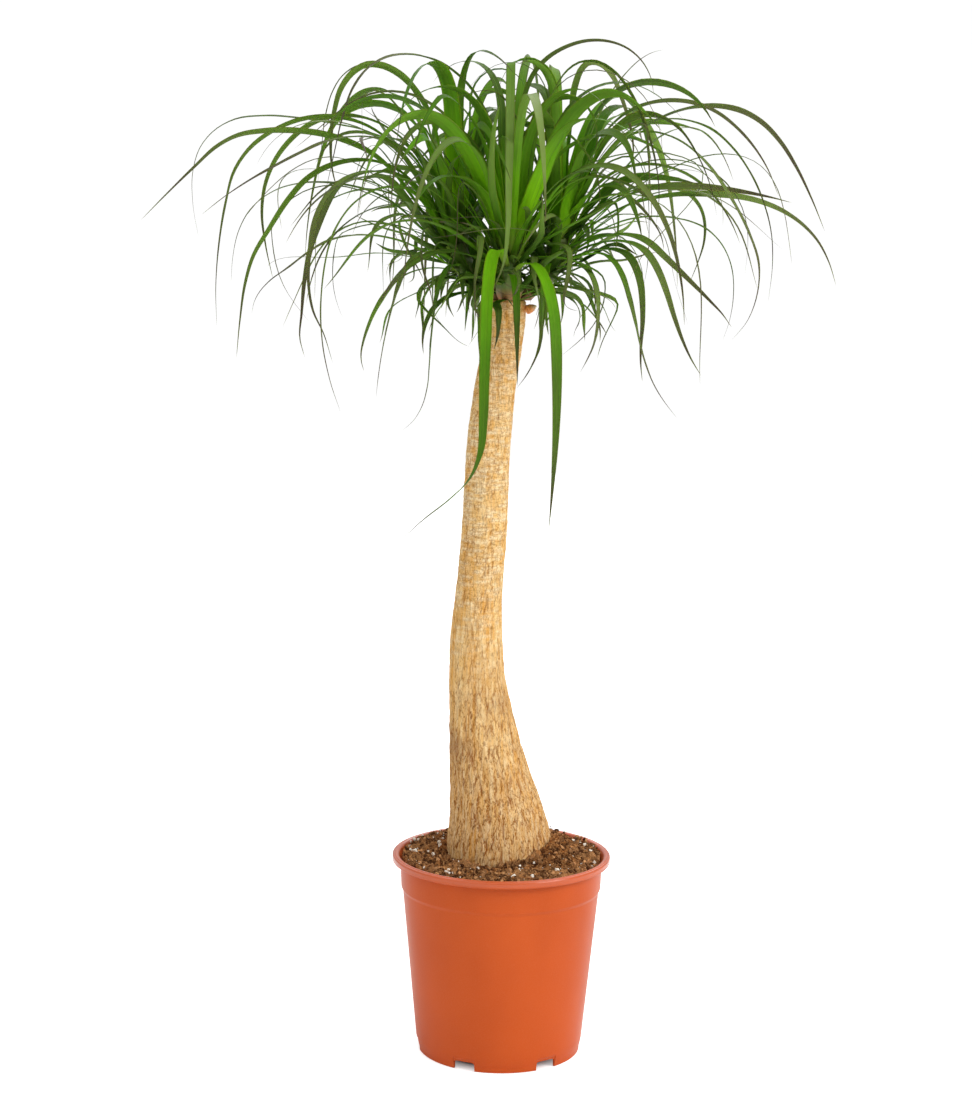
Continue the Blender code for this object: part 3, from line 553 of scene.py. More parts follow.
def barkMaterial():
    # Streaks of orange, tan and pale cork, with cream scars, a grey band at mid height and a redder tone
    # under the crown that is painted shade of the crown. Over them lie brown lines, level ones above and
    # upright ones that grow stronger towards the foot
    made, tree, shader = newMaterial("bark", 0.82, 0.02)
    place = objectPlace(tree)
    height = heightOf(tree, place)
    low = remap(tree, height, 0.46, 0.26)
    streak = grain(tree, place, (1, 1, 0.07), 270.0, 5.0, 0.38, 0.64)
    wide = grain(tree, place, (1, 1, 0.10), 75.0, 4.0, 0.36, 0.64)
    fine = grain(tree, place, (1, 1, 0.40), 900.0, 5.0, 0.38, 0.64)
    patch = grain(tree, place, (1, 1, 0.5), 24.0, 4.0, 0.50, 0.66)
    fleck = grain(tree, place, (1, 1, 0.35), 380.0, 4.0, 0.58, 0.66)
    tall = hairlines(tree, place, (1, 1, 0.20), 190.0, 0.075)
    short = hairlines(tree, place, (1, 1, 0.34), 420.0, 0.10)
    level = hairlines(tree, place, (0.28, 0.28, 1.0), 330.0, 0.12)
    colour = blend(tree, wide, trunk["tan"], trunk["orange"])
    colour = layer(tree, colour, trunk["pale"], streak, 0.80)
    band = times(tree, remap(tree, height, 0.28, 0.34), remap(tree, height, 0.48, 0.38))
    colour = layer(tree, colour, trunk["grey"], band, patch, 0.65)
    colour = layer(tree, colour, trunk["cream"], mark(tree, "scar"), 0.95)
    colour = layer(tree, colour, trunk["orange"], fine, 0.28)
    colour = blend(tree, low, colour, trunk["footTint"], "MULTIPLY")
    # painted shade of the crown: a redder tone in patches near the trunk's top
    crownShadePatch = remap(tree, patch, 0, 1, 0.30, 0.60)
    colour = layer(tree, colour, trunk["crownShadeRed"], remap(tree, height, 0.70, 0.86), crownShadePatch)
    colour = layer(tree, colour, trunk["levelLine"], level, remap(tree, height, 0.42, 0.55, 0.0, 0.60))
    colour = layer(tree, colour, trunk["shortLine"], short, remap(tree, low, 0, 1, 0.38, 0.70))
    colour = layer(tree, colour, trunk["tallLine"], tall, remap(tree, low, 0, 1, 0.46, 0.92))
    colour = layer(tree, colour, trunk["fleck"], fleck, remap(tree, low, 0, 1, 0.35, 0.72))
    deep = remap(tree, mark(tree, "crack"), 0.25, 0.90)
    colour = layer(tree, colour, trunk["crack"], deep, remap(tree, low, 0, 1, 0.62, 0.82))
    raised = calc(tree, "ADD", streak, times(tree, fine, 0.6))
    lines = calc(tree, "ADD", tall, times(tree, short, 0.6))
    coat(tree, shader, colour, calc(tree, "SUBTRACT", raised, lines), 0.55, 0.0012)
    return made


makeTrunk(barkMaterial())
print("trunk made")


# Potting soil, with its crumbs and perlite

soil = {
    "around": 560,
    "acrossTop": 84,
    "edge": 0.2180,             # height along the pot's wall
    "contact": 0.2195,          # height against the trunk
    "mound": 0.0165,            # how much higher it is heaped at the right of the trunk
    "moundAt": -15.0,
    "moundSpread": 55,          # degrees
    "behind": 0.0028,           # how much higher it lies at the back
    "settled": 0.0026,
    "lumps": (                  # cells round the pot, cells from wall to trunk, height
        (18, 3.2, 0.0026), (52, 6.5, 0.0062), (130, 15, 0.0030), (280, 34, 0.0010)),
    "lip": 0.1087,              # radius where its top meets the pot
    "bottom": (0.0830, 0.0862),         # radii on the pot's floor
    "dip": (0.003, 0.035),      # how far its top dips at the wall, and over what share of its width
    "wall": (                   # height and radius up the pot's wall
        (0.020, 0.0888), (0.100, 0.0968), (0.178, 0.1050), (0.186, 0.1073), (0.205, 0.1084)),
    "recessRows": 9,
    "recessGap": 0.0004,        # between the soil and the trunk in it
    "tuck": 0.0012,             # how far the top runs into the bark
    "crumbs": 4200,
    "perlite": 150,
    "dark": (0.054, 0.014, 0.003),
    "brown": (0.370, 0.140, 0.038),
    "light": (0.740, 0.375, 0.150),
    "darkCrumb": (0.050, 0.014, 0.003),
    "lightCrumb": (0.720, 0.365, 0.155),
    "crumbFleck": (0.110, 0.055, 0.028),
    "perlitePore": (0.90, 0.80, 0.66),
    "perliteFace": (1.00, 0.95, 0.85),
}


def soilSurface(share, angle):
    # Height of the soil: share runs 0 at the wall to 1 at the trunk. A slope up to the trunk, a heap at
    # the right, a little more behind, and four sizes of clump. The relief is what the three finer ones add
    turn = angle / (2 * np.pi)
    aside = (np.degrees(angle) - soil["moundAt"] + 180) % 360 - 180
    heap = soil["mound"] * np.exp(-(aside / soil["moundSpread"])**2) * ease(0.10, 1.0, share)
    behind = soil["behind"] * ease(0.1, 0.8, np.sin(angle))
    slope = soil["edge"] + behind + (soil["contact"] - soil["edge"]) * share + heap
    big, clump, bits, fine = (height * lumps(turn * cells, share * along, 41 + k, cells)
                              for k, (cells, along, height) in enumerate(soil["lumps"]))
    relief = np.abs(clump) + np.abs(bits) + fine
    return slope + big + relief - soil["settled"], relief


def soilPoint(share, angle, stem):
    # Where that share lies: on the straight line from the pot's wall to the trunk's skin
    wallX, wallY = soil["lip"] * np.cos(angle), soil["lip"] * np.sin(angle)
    trunkX, trunkY = stem[0] + stem[2] * np.cos(angle), stem[1] + stem[2] * np.sin(angle)
    return wallX * (1 - share) + trunkX * share, wallY * (1 - share) + trunkY * share


def makeSoil(material):
    # Rings up the pot's wall, over the soil's open top to the trunk, and down round the trunk's foot
    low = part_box("potting_soil")[0].z
    angle = 2 * np.pi * np.arange(soil["around"])[None] / soil["around"]
    heights, radii = np.array([*((low, radius) for radius in soil["bottom"]), *soil["wall"]]).T[..., None]
    wall = roundRings(0, 0, radii, angle, heights)
    share = np.linspace(0, 1, soil["acrossTop"])[:, None]
    stem = trunkFrame(np.array([soil["contact"]]))[0] - np.array([0, 0, soil["tuck"]])
    x, y = soilPoint(share, angle, stem)
    surface, relief = soilSurface(share, angle)
    dip, dipShare = soil["dip"]
    top = np.stack([x, y, surface - dip * (1 - ease(0.0, dipShare, share))], -1)
    down = np.linspace(soil["edge"] - 0.008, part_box("trunk")[0].z + 0.0005, soil["recessRows"])
    x, y, radius = trunkFrame(down).T[..., None]
    recess = roundRings(x, y, radius + soil["recessGap"], angle, down[:, None])
    relief = np.pad(relief, ((len(wall), len(recess)), (0, 0))) * 1000      # in mm
    mesh = ringMesh("soil", np.concatenate([wall, top, recess]), {"relief": relief})
    return addPiece("pottingSoil", mesh, material, ["potting_soil"])


def pebbles(name, places, sizes, seed, flat):
    # One mesh of rough eight-cornered lumps: cube corners pushed about, stretched, turned and set in place
    rng = np.random.default_rng(seed)
    count = len(places)
    cube = np.array([(x, y, z) for x in (-1, 1) for y in (-1, 1) for z in (-1, 1)], float) * 0.58
    turns = np.linalg.qr(rng.normal(size=(count, 3, 3)))[0]
    squash = np.stack([np.ones(count), rng.uniform(0.5, 1.0, count), rng.uniform(*flat, count)], -1)
    corners = cube[None] * (1 + rng.uniform(-0.35, 0.35, (count, 8, 3)))
    corners = np.einsum("kij,kvj->kvi", turns, corners * squash[:, None]) * sizes[:, None, None]
    points = (corners + places[:, None]).reshape(-1, 3)
    sides = np.array([(0, 1, 3, 2), (4, 6, 7, 5), (0, 4, 5, 1), (2, 3, 7, 6), (0, 2, 6, 4), (1, 5, 7, 3)])
    faces = sides[None] + 8 * np.arange(count)[:, None, None]
    mirrored = np.linalg.det(turns) < 0
    faces[mirrored] = faces[mirrored][:, :, ::-1]
    mesh = bpy.data.meshes.new(name)
    mesh.from_pydata(points, [], faces.reshape(-1, 4).tolist())
    return mesh


def scatter(count, seed, raised):
    # Even places over the ring of soil, a little above its surface
    rng = np.random.default_rng(seed)
    share = 1 - np.sqrt(rng.uniform(0.02, 1, count))
    share = np.clip(share * 1.05, 0.015, 0.985)
    angle = rng.uniform(0, 2 * np.pi, count)
    x, y = soilPoint(share, angle, trunkFrame(np.array([soil["contact"]]))[0])
    return np.stack([x, y, soilSurface(share, angle)[0] + raised], -1), rng


def makeCrumbs(material):
    places, rng = scatter(soil["crumbs"], 51, 0.0004)
    sizes = 0.0005 + 0.0036 * rng.uniform(0, 1, len(places))**5.0
    mesh = pebbles("crumbs", places, sizes, 52, (0.22, 0.7))
    addMark(mesh, "shade", np.repeat(rng.uniform(0, 1, len(places))**1.4, 8))
    return addPiece("barkCrumbs", mesh, material, sharp=40)


def makePerlite(material):
    places, rng = scatter(soil["perlite"], 53, 0.0008)
    sizes = 0.0006 + 0.0034 * rng.uniform(0, 1, len(places))**2.4
    mesh = pebbles("perlite", places, sizes, 54, (0.4, 0.9))
    return addPiece("perliteGrains", mesh, material, sharp=40)


def soilMaterial():
    # Dark peat with brown clumps, light patches and fibres, with painted shade darkening its hollows
    made, tree, shader = newMaterial("peat", 0.95, 0.06)
    place = objectPlace(tree)
    clump = grain(tree, place, (1, 1, 1), 130.0, 6.0, 0.42, 0.60)
    fibre = grain(tree, place, (1, 1, 1), 520.0, 5.0, 0.46, 0.62)
    patch = grain(tree, place, (1, 1, 1), 32.0, 3.0, 0.46, 0.62)
    colour = blend(tree, clump, soil["dark"], soil["brown"])
    colour = layer(tree, colour, soil["light"], patch, 0.45)
    colour = layer(tree, colour, soil["light"], fibre, 0.50)
    # painted shade: where the relief is lowest the soil is darkened towards the dark peat colour
    colour = layer(tree, colour, soil["dark"], remap(tree, mark(tree, "relief"), 2.7, 0.7, 0.0, 0.88))
    coat(tree, shader, colour, calc(tree, "ADD", clump, fibre), 0.9, 0.0015)
    return made


def crumbMaterial():
    # Each crumb between dark and light brown by its own shade
    made, tree, shader = newMaterial("barkCrumb", 0.9, 0.04)
    fleck = grain(tree, objectPlace(tree), (1, 1, 1), 600.0, 3.0)
    colour = blend(tree, mark(tree, "shade"), soil["darkCrumb"], soil["lightCrumb"])
    colour = layer(tree, colour, soil["crumbFleck"], fleck, 0.4)
    coat(tree, shader, colour, fleck, 0.6, 0.0006)
    return made


def perliteMaterial():
    made, tree, shader = newMaterial("perlite", 0.8)
    pore = grain(tree, objectPlace(tree), (1, 1, 1), 1600.0, 3.0)
    coat(tree, shader, blend(tree, pore, soil["perlitePore"], soil["perliteFace"]), pore, 0.5, 0.0005)
    return made


makeSoil(soilMaterial())
makeCrumbs(crumbMaterial())
makePerlite(perliteMaterial())
print("soil made")


# Shoots and side bud

shoot = {
    "around": 72,
    "rows": 90,
    "slicing": (0.0006, 0.0006, 26),    # how far from its foot and top it is sliced, and how often
    "lapHeight": 0.011,
    "lapDepth": 0.0011,
    "skirt": (0.330, 0.130, 0.045),     # reddish dry bark at the foot
    "sheath": (0.075, 0.160, 0.010),    # green leaf bases above it
    "straw": (0.220, 0.200, 0.070),
    "edge": (0.070, 0.050, 0.015),
}


def shootFrame(head, heights):
    return grownFrame(f"shoot_{head}", heights, *shoot["slicing"])


def makeShoot(head, material):
    # r(angle, z) = R(z) + lapped leaf bases, drawn in at the top: the laps are a saw-toothed wave that climbs
    # round the shoot
    low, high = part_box(f"shoot_{head}")
    rows = np.linspace(low.z, high.z, shoot["rows"])
    x, y, radius = shootFrame(head, rows).T[..., None]
    z = rows[:, None]
    u = np.arange(shoot["around"])[None] / shoot["around"]
    climb = (z - low.z) / shoot["lapHeight"] + 3 * u + 0.25 * lumps(u * 9, z / 0.01, 61, 9)
    lap = 1 - climb % 1.0
    rib = np.cos(2 * np.pi * (5 * u + 0.5 * np.floor(climb)))
    leafy = ease(low.z + 0.004, low.z + 0.020, z)
    r = radius + shoot["lapDepth"] * (lap - 0.6 + 0.35 * rib) * leafy
    r = r + 0.0006 * lumps(u * 16, z / 0.004, 62, 16)
    r = r * np.sqrt(1 - 0.9 * ease(high.z - 0.006, high.z + 0.001, z)**2)
    rise = (z - low.z) / (high.z - low.z)
    mesh = ringMesh(f"shoot_{head}", roundRings(x, y, r, 2 * np.pi * u, z), {"lap": lap, "rise": rise})
    return addPiece(f"{head}Shoot", mesh, material, [f"shoot_{head}"])


def shootMaterial():
    # Dry at the foot and green above, with straw streaks and dark edges on the laps
    made, tree, shader = newMaterial("leafBases", 0.6)
    streak = grain(tree, objectPlace(tree), (1, 1, 0.2), 300.0)
    colour = blend(tree, remap(tree, mark(tree, "rise"), 0.06, 0.20), shoot["skirt"], shoot["sheath"])
    colour = layer(tree, colour, shoot["straw"], streak, 0.45)
    colour = layer(tree, colour, shoot["edge"], remap(tree, mark(tree, "lap"), 0.22, 0.02), 0.8)
    coat(tree, shader, colour, streak, 0.4, 0.0005)
    return made


bud = {
    "around": 40,
    "rows": 44,
    "girth": 1.12,              # against the CAD bud
    "profile": (                # share of its length, share of its radius
        (0.0, 1.05), (0.12, 1.10), (0.35, 1.06), (0.60, 0.84), (0.80, 0.55), (0.93, 0.27), (1.0, 0.06)),
    "laps": 4.0,
    "orange": (0.760, 0.270, 0.050),
    "cream": (0.860, 0.700, 0.420),
    "brown": (0.300, 0.110, 0.035),
}


def makeBud(material):
    # A blunt cone with lapped scales: r(angle, t) = R profile(t) (1 + scales), on the CAD bud's own axis,
    # which points away from the trunk
    points = mergedNode("side_bud")[0]
    middle = points.mean(0)
    axis = np.linalg.svd(points - middle)[2][0]
    stem = trunkFrame(np.array([middle[2]]))[0]
    axis = axis * np.sign(axis @ (middle - np.array([stem[0], stem[1], middle[2] - 0.01])))
    along = (points - middle) @ axis
    foot = middle + axis * along.min()
    across = unit(np.cross(axis, (0, 0, 1)))
    up = np.cross(axis, across)
    radius = np.linalg.norm((points - middle) - along[:, None] * axis, axis=1).max()
    t = np.linspace(0, 1, bud["rows"])[:, None]
    u = np.arange(bud["around"])[None] / bud["around"]
    lap = 1 - (bud["laps"] * t + 2 * u) % 1.0
    scales = 0.92 + 0.10 * lap + 0.03 * lumps(u * 8, t * 9, 71, 8)
    r = bud["girth"] * radius * np.interp(t, *np.array(bud["profile"]).T) * scales
    angle = 2 * np.pi * u
    rings = (foot + axis * (t * np.ptp(along))[..., None] + across * (r * np.cos(angle))[..., None]
             + up * (r * np.sin(angle))[..., None])
    mesh = ringMesh("side_bud", rings, {"rise": t, "lap": lap})
    return addPiece("sideBud", mesh, material, ["side_bud"])


def budMaterial():
    # Orange, cream at the tip, flecked and edged with brown
    made, tree, shader = newMaterial("budScales", 0.5)
    fleck = grain(tree, objectPlace(tree), (1, 1, 1), 700.0, 3.0)
    colour = blend(tree, remap(tree, mark(tree, "rise"), 0.55, 0.95), bud["orange"], bud["cream"])
    colour = layer(tree, colour, bud["brown"], fleck, 0.35)
    colour = layer(tree, colour, bud["brown"], remap(tree, mark(tree, "lap"), 0.16, 0.02))
    coat(tree, shader, colour, fleck, 0.4, 0.0004)
    return made


leafBases = shootMaterial()
for headName in ("left", "front", "right"):
    makeShoot(headName, leafBases)
makeBud(budMaterial())
print("shoots and bud made")


# Leaves: single straps, of which the CAD has the ones that show most

leaf = {
    "thickness": 0.0009,
    "channel": 0.30,            # how far the edges rise, as a share of half the width
    "footWidth": 0.0085,
    "tipWidth": 0.0003,
    "taper": 1.9,               # the higher, the longer a blade stays wide
    "rows": 60,
    "skins": (9, 7),            # points across its upper and its lower side
    "turnBy": (20, 60),         # degrees for a flat blade, over and above the least
    "leastTurn": 20,
    "turnPlace": (0.25, 0.55),          # where along the blade, and how far on
    "turnSpread": (0.15, 0.25),
    "flatNarrower": 0.28,
    "flatDarker": 0.50,
    "flatLate": 0.60,
    "deep": (0.019, 0.048, 0.001),
    "green": (0.096, 0.298, 0.001),
    "bright": (0.262, 0.655, 0.002),
    "vein": (0.115, 0.300, 0.003),
    "midrib": (0.190, 0.380, 0.018),
    "under": (0.160, 0.310, 0.025),
    "underVein": (0.075, 0.160, 0.012),
    # a pale grey-green for faded leaves, which also stands for painted sheen where light glances off their
    # outer parts
    "fadeAndSheen": (0.240, 0.320, 0.080),
    "olive": (0.120, 0.122, 0.036),
    "pale": (0.270, 0.400, 0.050),
    "rim": (0.046, 0.030, 0.011),
    "tip": (0.068, 0.042, 0.030),
    "fadeAndSheenRarity": {"left": 2.4, "front": 3.0, "right": 0.65},      # the higher, the fewer leaves of a head get the faded grey-green with its painted sheen
    "posed": {                  # turn, and face which adds to it: degrees, where along the blade, how far on
        "leaf_front_02": {"turn": (22, 0.30, 0.25), "shade": 0.62, "fadeAndSheen": 0.1, "dry": 0.45},
        "leaf_front_03": {"turn": (80, 0.72, 0.12), "shade": 0.74, "fadeAndSheen": 0.0, "dry": 0.35},
        "leaf_front_06": {"face": (-44, 0.46, 0.20), "shade": 0.55, "fadeAndSheen": 0.95, "dry": 0.05, "late": 0.3},
        "leaf_front_10": {"turn": (30, 0.36, 0.20), "face": (-68, 0.46, 0.14), "shade": 0.68, "fadeAndSheen": 0.7,
                          "dry": 0.0, "late": 0.2, "taper": 4.4, "width": 0.0098},
    },
}


def cadStations(name):
    # A CAD leaf's corners, foot first: counted back from its tip, they lie in rings of four
    points, triangles = mergedNode(name)
    near = np.zeros((len(points), len(points)), bool)
    for a, b in ((0, 1), (1, 2), (2, 0)):
        near[triangles[:, a], triangles[:, b]] = True
        near[triangles[:, b], triangles[:, a]] = True
    for tip in np.flatnonzero(near.sum(1) == 4):
        reached = np.zeros(len(points), bool)
        reached[tip] = True
        front, levels = reached, []
        while front.any():
            front = near[front].any(0) & ~reached
            reached = reached | front
            levels.append(np.flatnonzero(front))
        levels = levels[:-1]
        if all(len(level) == 4 for level in levels):
            break
    return points[np.array(levels[::-1])], points[tip]


def cadBlade(name):
    # The widest pair of a ring are the blade's edges, and the other two lie over and under its middle. The
    # path runs through the middles, and side and up are square to it
    ring, tip = cadStations(name)
    pairs = np.array([(0, 1, 2, 3), (0, 2, 1, 3), (0, 3, 1, 2), (1, 2, 0, 3), (1, 3, 0, 2), (2, 3, 0, 1)])
    spread = np.linalg.norm(ring[:, pairs[:, 0]] - ring[:, pairs[:, 1]], axis=-1)
    chosen = pairs[spread.argmax(1)]
    edgeA, edgeB, over, below = (ring[np.arange(len(ring)), chosen[:, k]] for k in range(4))
    centre = 0.5 * (over + below)
    across = unit(edgeA - edgeB)
    same = np.sign(np.einsum("ij,ij->i", across[1:], across[:-1]))
    across = across * np.concatenate([[1], np.cumprod(same)])[:, None]
    path = np.vstack([centre, tip])
    across = np.vstack([across, across[-1]])
    at = np.concatenate([[0], np.cumsum(np.linalg.norm(np.diff(path, axis=0), axis=1))])
    fine = np.linspace(0, at[-1], leaf["rows"])
    run = through(at, path, fine)
    along = unit(np.gradient(run, fine, axis=0))
    side = through(at, across, fine)
    side = unit(side - along * np.einsum("ij,ij->i", side, along)[:, None])
    up = np.cross(along, side)
    lift = through(at, np.vstack([0.5 * (edgeA + edgeB) - centre, np.zeros(3)]), fine)
    if (up * lift).sum() < 0:
        side, up = -side, -up
    return {"path": run, "side": side, "up": up, "length": at[-1], "width": spread.max() * 1.05}


def twisted(blade, turn, place, spread):
    # The blade turned about its own path, by turn degrees eased in around a share of its length
    share = np.linspace(0, 1, len(blade["path"]))[:, None]
    angle = np.radians(turn * ease(place - spread, place + spread, share))
    side, up = blade["side"], blade["up"]
    return {**blade, "side": side * np.cos(angle) + up * np.sin(angle),
            "up": up * np.cos(angle) - side * np.sin(angle)}


def bladeWidth(share, width, taper=leaf["taper"]):
    # Narrow at the foot, full by a seventh, then (1 - s^taper)^1.15, which draws out into a long fine tip
    foot = np.minimum(leaf["footWidth"], width)
    swell = foot + (width - foot) * ease(0.0, 0.14, share)
    return swell * np.clip(1 - share**taper, 0, 1)**1.15 + leaf["tipWidth"]


def bladeMesh(name, blades, rows, skins, seed):
    # Every blade of the piece at once: a point of a section is
    # path + side half x + up (half channel |x|^1.5 + thickness (1 - x^2) + half ripple x), x from edge to
    # edge and back. The lower side also bulges at its midrib. A late blade is narrower over its first half
    rng = np.random.default_rng(seed)
    path, side, up = (np.stack([blade[key] for blade in blades])[:, :, None]
                      for key in ("path", "side", "up"))
    value = {key: np.array([blade[key] for blade in blades])[:, None]
             for key in ("length", "width", "late", "taper", "shade", "dry", "fadeAndSheen", "deep")}
    share = np.linspace(0, 1, rows)[None]
    half = 0.5 * bladeWidth(share, value["width"], value["taper"])
    half = half * (1 - value["late"] * (1 - ease(0.12, 0.55, share)))
    topSide, underSide = skins
    top = np.cos(np.linspace(0, np.pi, topSide))
    under = -np.cos(np.linspace(0, np.pi, underSide + 2))[1:-1]
    x = np.concatenate([top, under])
    skin = np.concatenate([1 - top**2, -(1 - under**2) - 0.9 * np.exp(-(under / 0.22)**2)])
    phase = rng.uniform(0, 2 * np.pi, (len(blades), 4))[:, :2, None]
    ripple = (0.05 * np.sin(2 * np.pi * share * 5 + phase[:, 0])
              + 0.04 * np.sin(2 * np.pi * share * 11 + phase[:, 1]))
    channel = leaf["channel"] * np.clip(0.5 + 4 * share, 0, 1) * (1 - 0.6 * share)
    thick = 0.5 * leaf["thickness"] * (1 - 0.45 * share) * np.clip(half / 0.0012, 0.25, 1)
    rise = ((half * channel)[..., None] * np.abs(x)**1.5 + thick[..., None] * skin
            + (half * ripple)[..., None] * x)
    rings = path + side * (half[..., None] * x)[..., None] + up * rise[..., None]
    marks = {"across": x, "beneath": np.repeat([0.0, 1.0], skins), "share": share[:, :-1, None],
             "span": (share * value["length"])[:, :-1, None]}
    marks.update((key, value[key][..., None]) for key in ("shade", "dry", "fadeAndSheen", "deep"))
    return ringMesh(name, rings[:, :-1], marks, path[:, -1, 0])


def leafMaterial():
    # Green by shade, brighter towards the foot and darker outward, where the darkening is partly painted
    # shade, with lengthwise veins, a paler midrib and foot, a grey-green underside, dark rims and dry tips.
    # Fading with its painted sheen, drying and the underside show only from the foot outward, and the leaves
    # that start deep in a head get painted shade at their foot
    made, tree, shader = newMaterial("strapLeaf", 0.42, 0.13)
    share, across, span, shade = (mark(tree, title) for title in ("share", "across", "span", "shade"))
    dry, fadeAndSheen, beneath, paintedHeadShade = (mark(tree, title) for title in ("dry", "fadeAndSheen", "beneath", "deep"))
    place = node(tree, "ShaderNodeCombineXYZ", {0: across, 1: span, 2: shade}).outputs[0]
    vein = grain(tree, place, (9.0, 5.0, 40.0), 1.0, 3.0, 0.36, 0.64)
    fineVein = grain(tree, place, (24.0, 12.0, 90.0), 1.0, 2.0, 0.38, 0.62)
    mottle = grain(tree, place, (0.8, 26.0, 60.0), 1.0, 3.0, 0.35, 0.68)
    edge = calc(tree, "ABSOLUTE", across)
    outer = remap(tree, share, 0.20, 0.65, 0.03, 1.0)
    # tone is each leaf's shade, brighter at the foot and darker outward; the outer darkening is partly
    # painted shade on the tops that curve over
    tone = calc(tree, "ADD", shade, remap(tree, share, 0.08, 0.58, 0.24, -0.52))
    body = blend(tree, remap(tree, tone, 0.0, 0.55), leaf["deep"], leaf["green"])
    body = layer(tree, body, leaf["bright"], remap(tree, tone, 0.50, 1.0))
    body = layer(tree, body, leaf["green"], mottle, 0.35)
    body = layer(tree, body, leaf["vein"], vein, 0.24)
    body = layer(tree, body, leaf["deep"], fineVein, 0.22)
    body = layer(tree, body, leaf["midrib"], remap(tree, edge, 0.16, 0.0), 0.22)
    # the faded grey-green, partly painted sheen, on the outer parts
    body = layer(tree, body, leaf["fadeAndSheen"], fadeAndSheen, outer, 0.75)
    body = layer(tree, body, leaf["olive"], dry, outer, 0.55)
    under = layer(tree, leaf["under"], leaf["underVein"], vein, 0.5)
    body = layer(tree, body, under, beneath, outer, 0.60)
    body = layer(tree, body, leaf["rim"], remap(tree, edge, 0.66, 0.96),
                 remap(tree, share, 0.05, 0.45, 0.25, 1.0), remap(tree, dry, 0.0, 0.8, 0.40, 0.95))
    body = layer(tree, body, leaf["pale"], remap(tree, share, 0.085, 0.0))
    # painted shade: leaves that start deep in a head are darkened near their foot, as if shaded inside it
    body = layer(tree, body, leaf["deep"], paintedHeadShade, remap(tree, span, 0.080, 0.015))
    dried = remap(tree, share, remap(tree, dry, 0.0, 1.0, 0.90, 0.45), 1.0, 0.0, 1.25)
    body = layer(tree, body, leaf["tip"], calc(tree, "MINIMUM", dried, 0.92))
    satin = calc(tree, "ADD", remap(tree, vein, 0, 1, 0.38, 0.52), remap(tree, outer, 0, 1, 0.44, 0.0))
    feed(tree, shader.inputs["Roughness"], satin)
    shader.inputs["Subsurface Weight"].default_value = 0.25
    shader.inputs["Subsurface Radius"].default_value = (0.6, 1.0, 0.1)
    shader.inputs["Subsurface Scale"].default_value = 0.002
    coat(tree, shader, body, calc(tree, "ADD", vein, fineVein), 0.35, 0.0004)
    return made


def makeMeasuredLeaves(material):
    # A blade that lies flat is turned to show its face part of the way out, and is narrower, darker and
    # drier. The crown grows clear of the blades as they are before their face twist, which only their
    # pieces get
    blades = {name: cadBlade(name) for name in sorted(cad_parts) if name.startswith("leaf_")}
    rng = np.random.default_rng(7)
    for name, blade in blades.items():
        head, number = name.split("_")[1:]
        posed = leaf["posed"].get(name, {})
        level = 1 - np.abs(blade["up"][:, 1]).mean()
        turn = ((leaf["leastTurn"] + level * rng.uniform(*leaf["turnBy"])) * rng.choice([-1, 1]),
                rng.uniform(*leaf["turnPlace"]), rng.uniform(*leaf["turnSpread"]))
        blades[name] = blade = twisted(blade, *posed.get("turn", turn))
        pitch = math.degrees(math.asin(unit(blade["path"][4] - blade["path"][0])[2]))
        blade["width"] = blade["width"] * (1.12 - leaf["flatNarrower"] * level)
        shade = 0.62 - leaf["flatDarker"] * level + 0.002 * pitch + rng.normal(0, 0.09)
        blade["shade"] = np.clip(shade, 0, 1)
        blade["dry"] = rng.uniform(0.5, 1) * min(1.0, 0.45 + level)
        blade["fadeAndSheen"] = rng.uniform(0, 1)**leaf["fadeAndSheenRarity"][head]
        blade["deep"], blade["late"] = 0.0, leaf["flatLate"] * level
        blade["taper"] = 2.0 + 0.8 * blade["fadeAndSheen"]
        shown = {**twisted(blade, *posed.get("face", (0, 0.5, 0.2))), **posed}
        mesh = bladeMesh(name, [shown], leaf["rows"], leaf["skins"], int(rng.integers(1, 9999)))
        addPiece(f"{head}Blade{number}", mesh, material, [name])
    return blades


strapLeaf = leafMaterial()
measured = makeMeasuredLeaves(strapLeaf)
print("measured leaves made:", len(measured))


# Crown: rings of more leaves, grown by rule round every shoot.
# seat is where on the shoot a leaf grows; pitch and end are its first and last pitch, and bend where between
# them it starts to fall. spread is how far it may stray round the shoot, swing how far it bends sideways and
# wobble how much it sways; a shy ring leaves its front open; all four are degrees. kink is the share of
# leaves that fold. seeds and counts are for the heads in turn

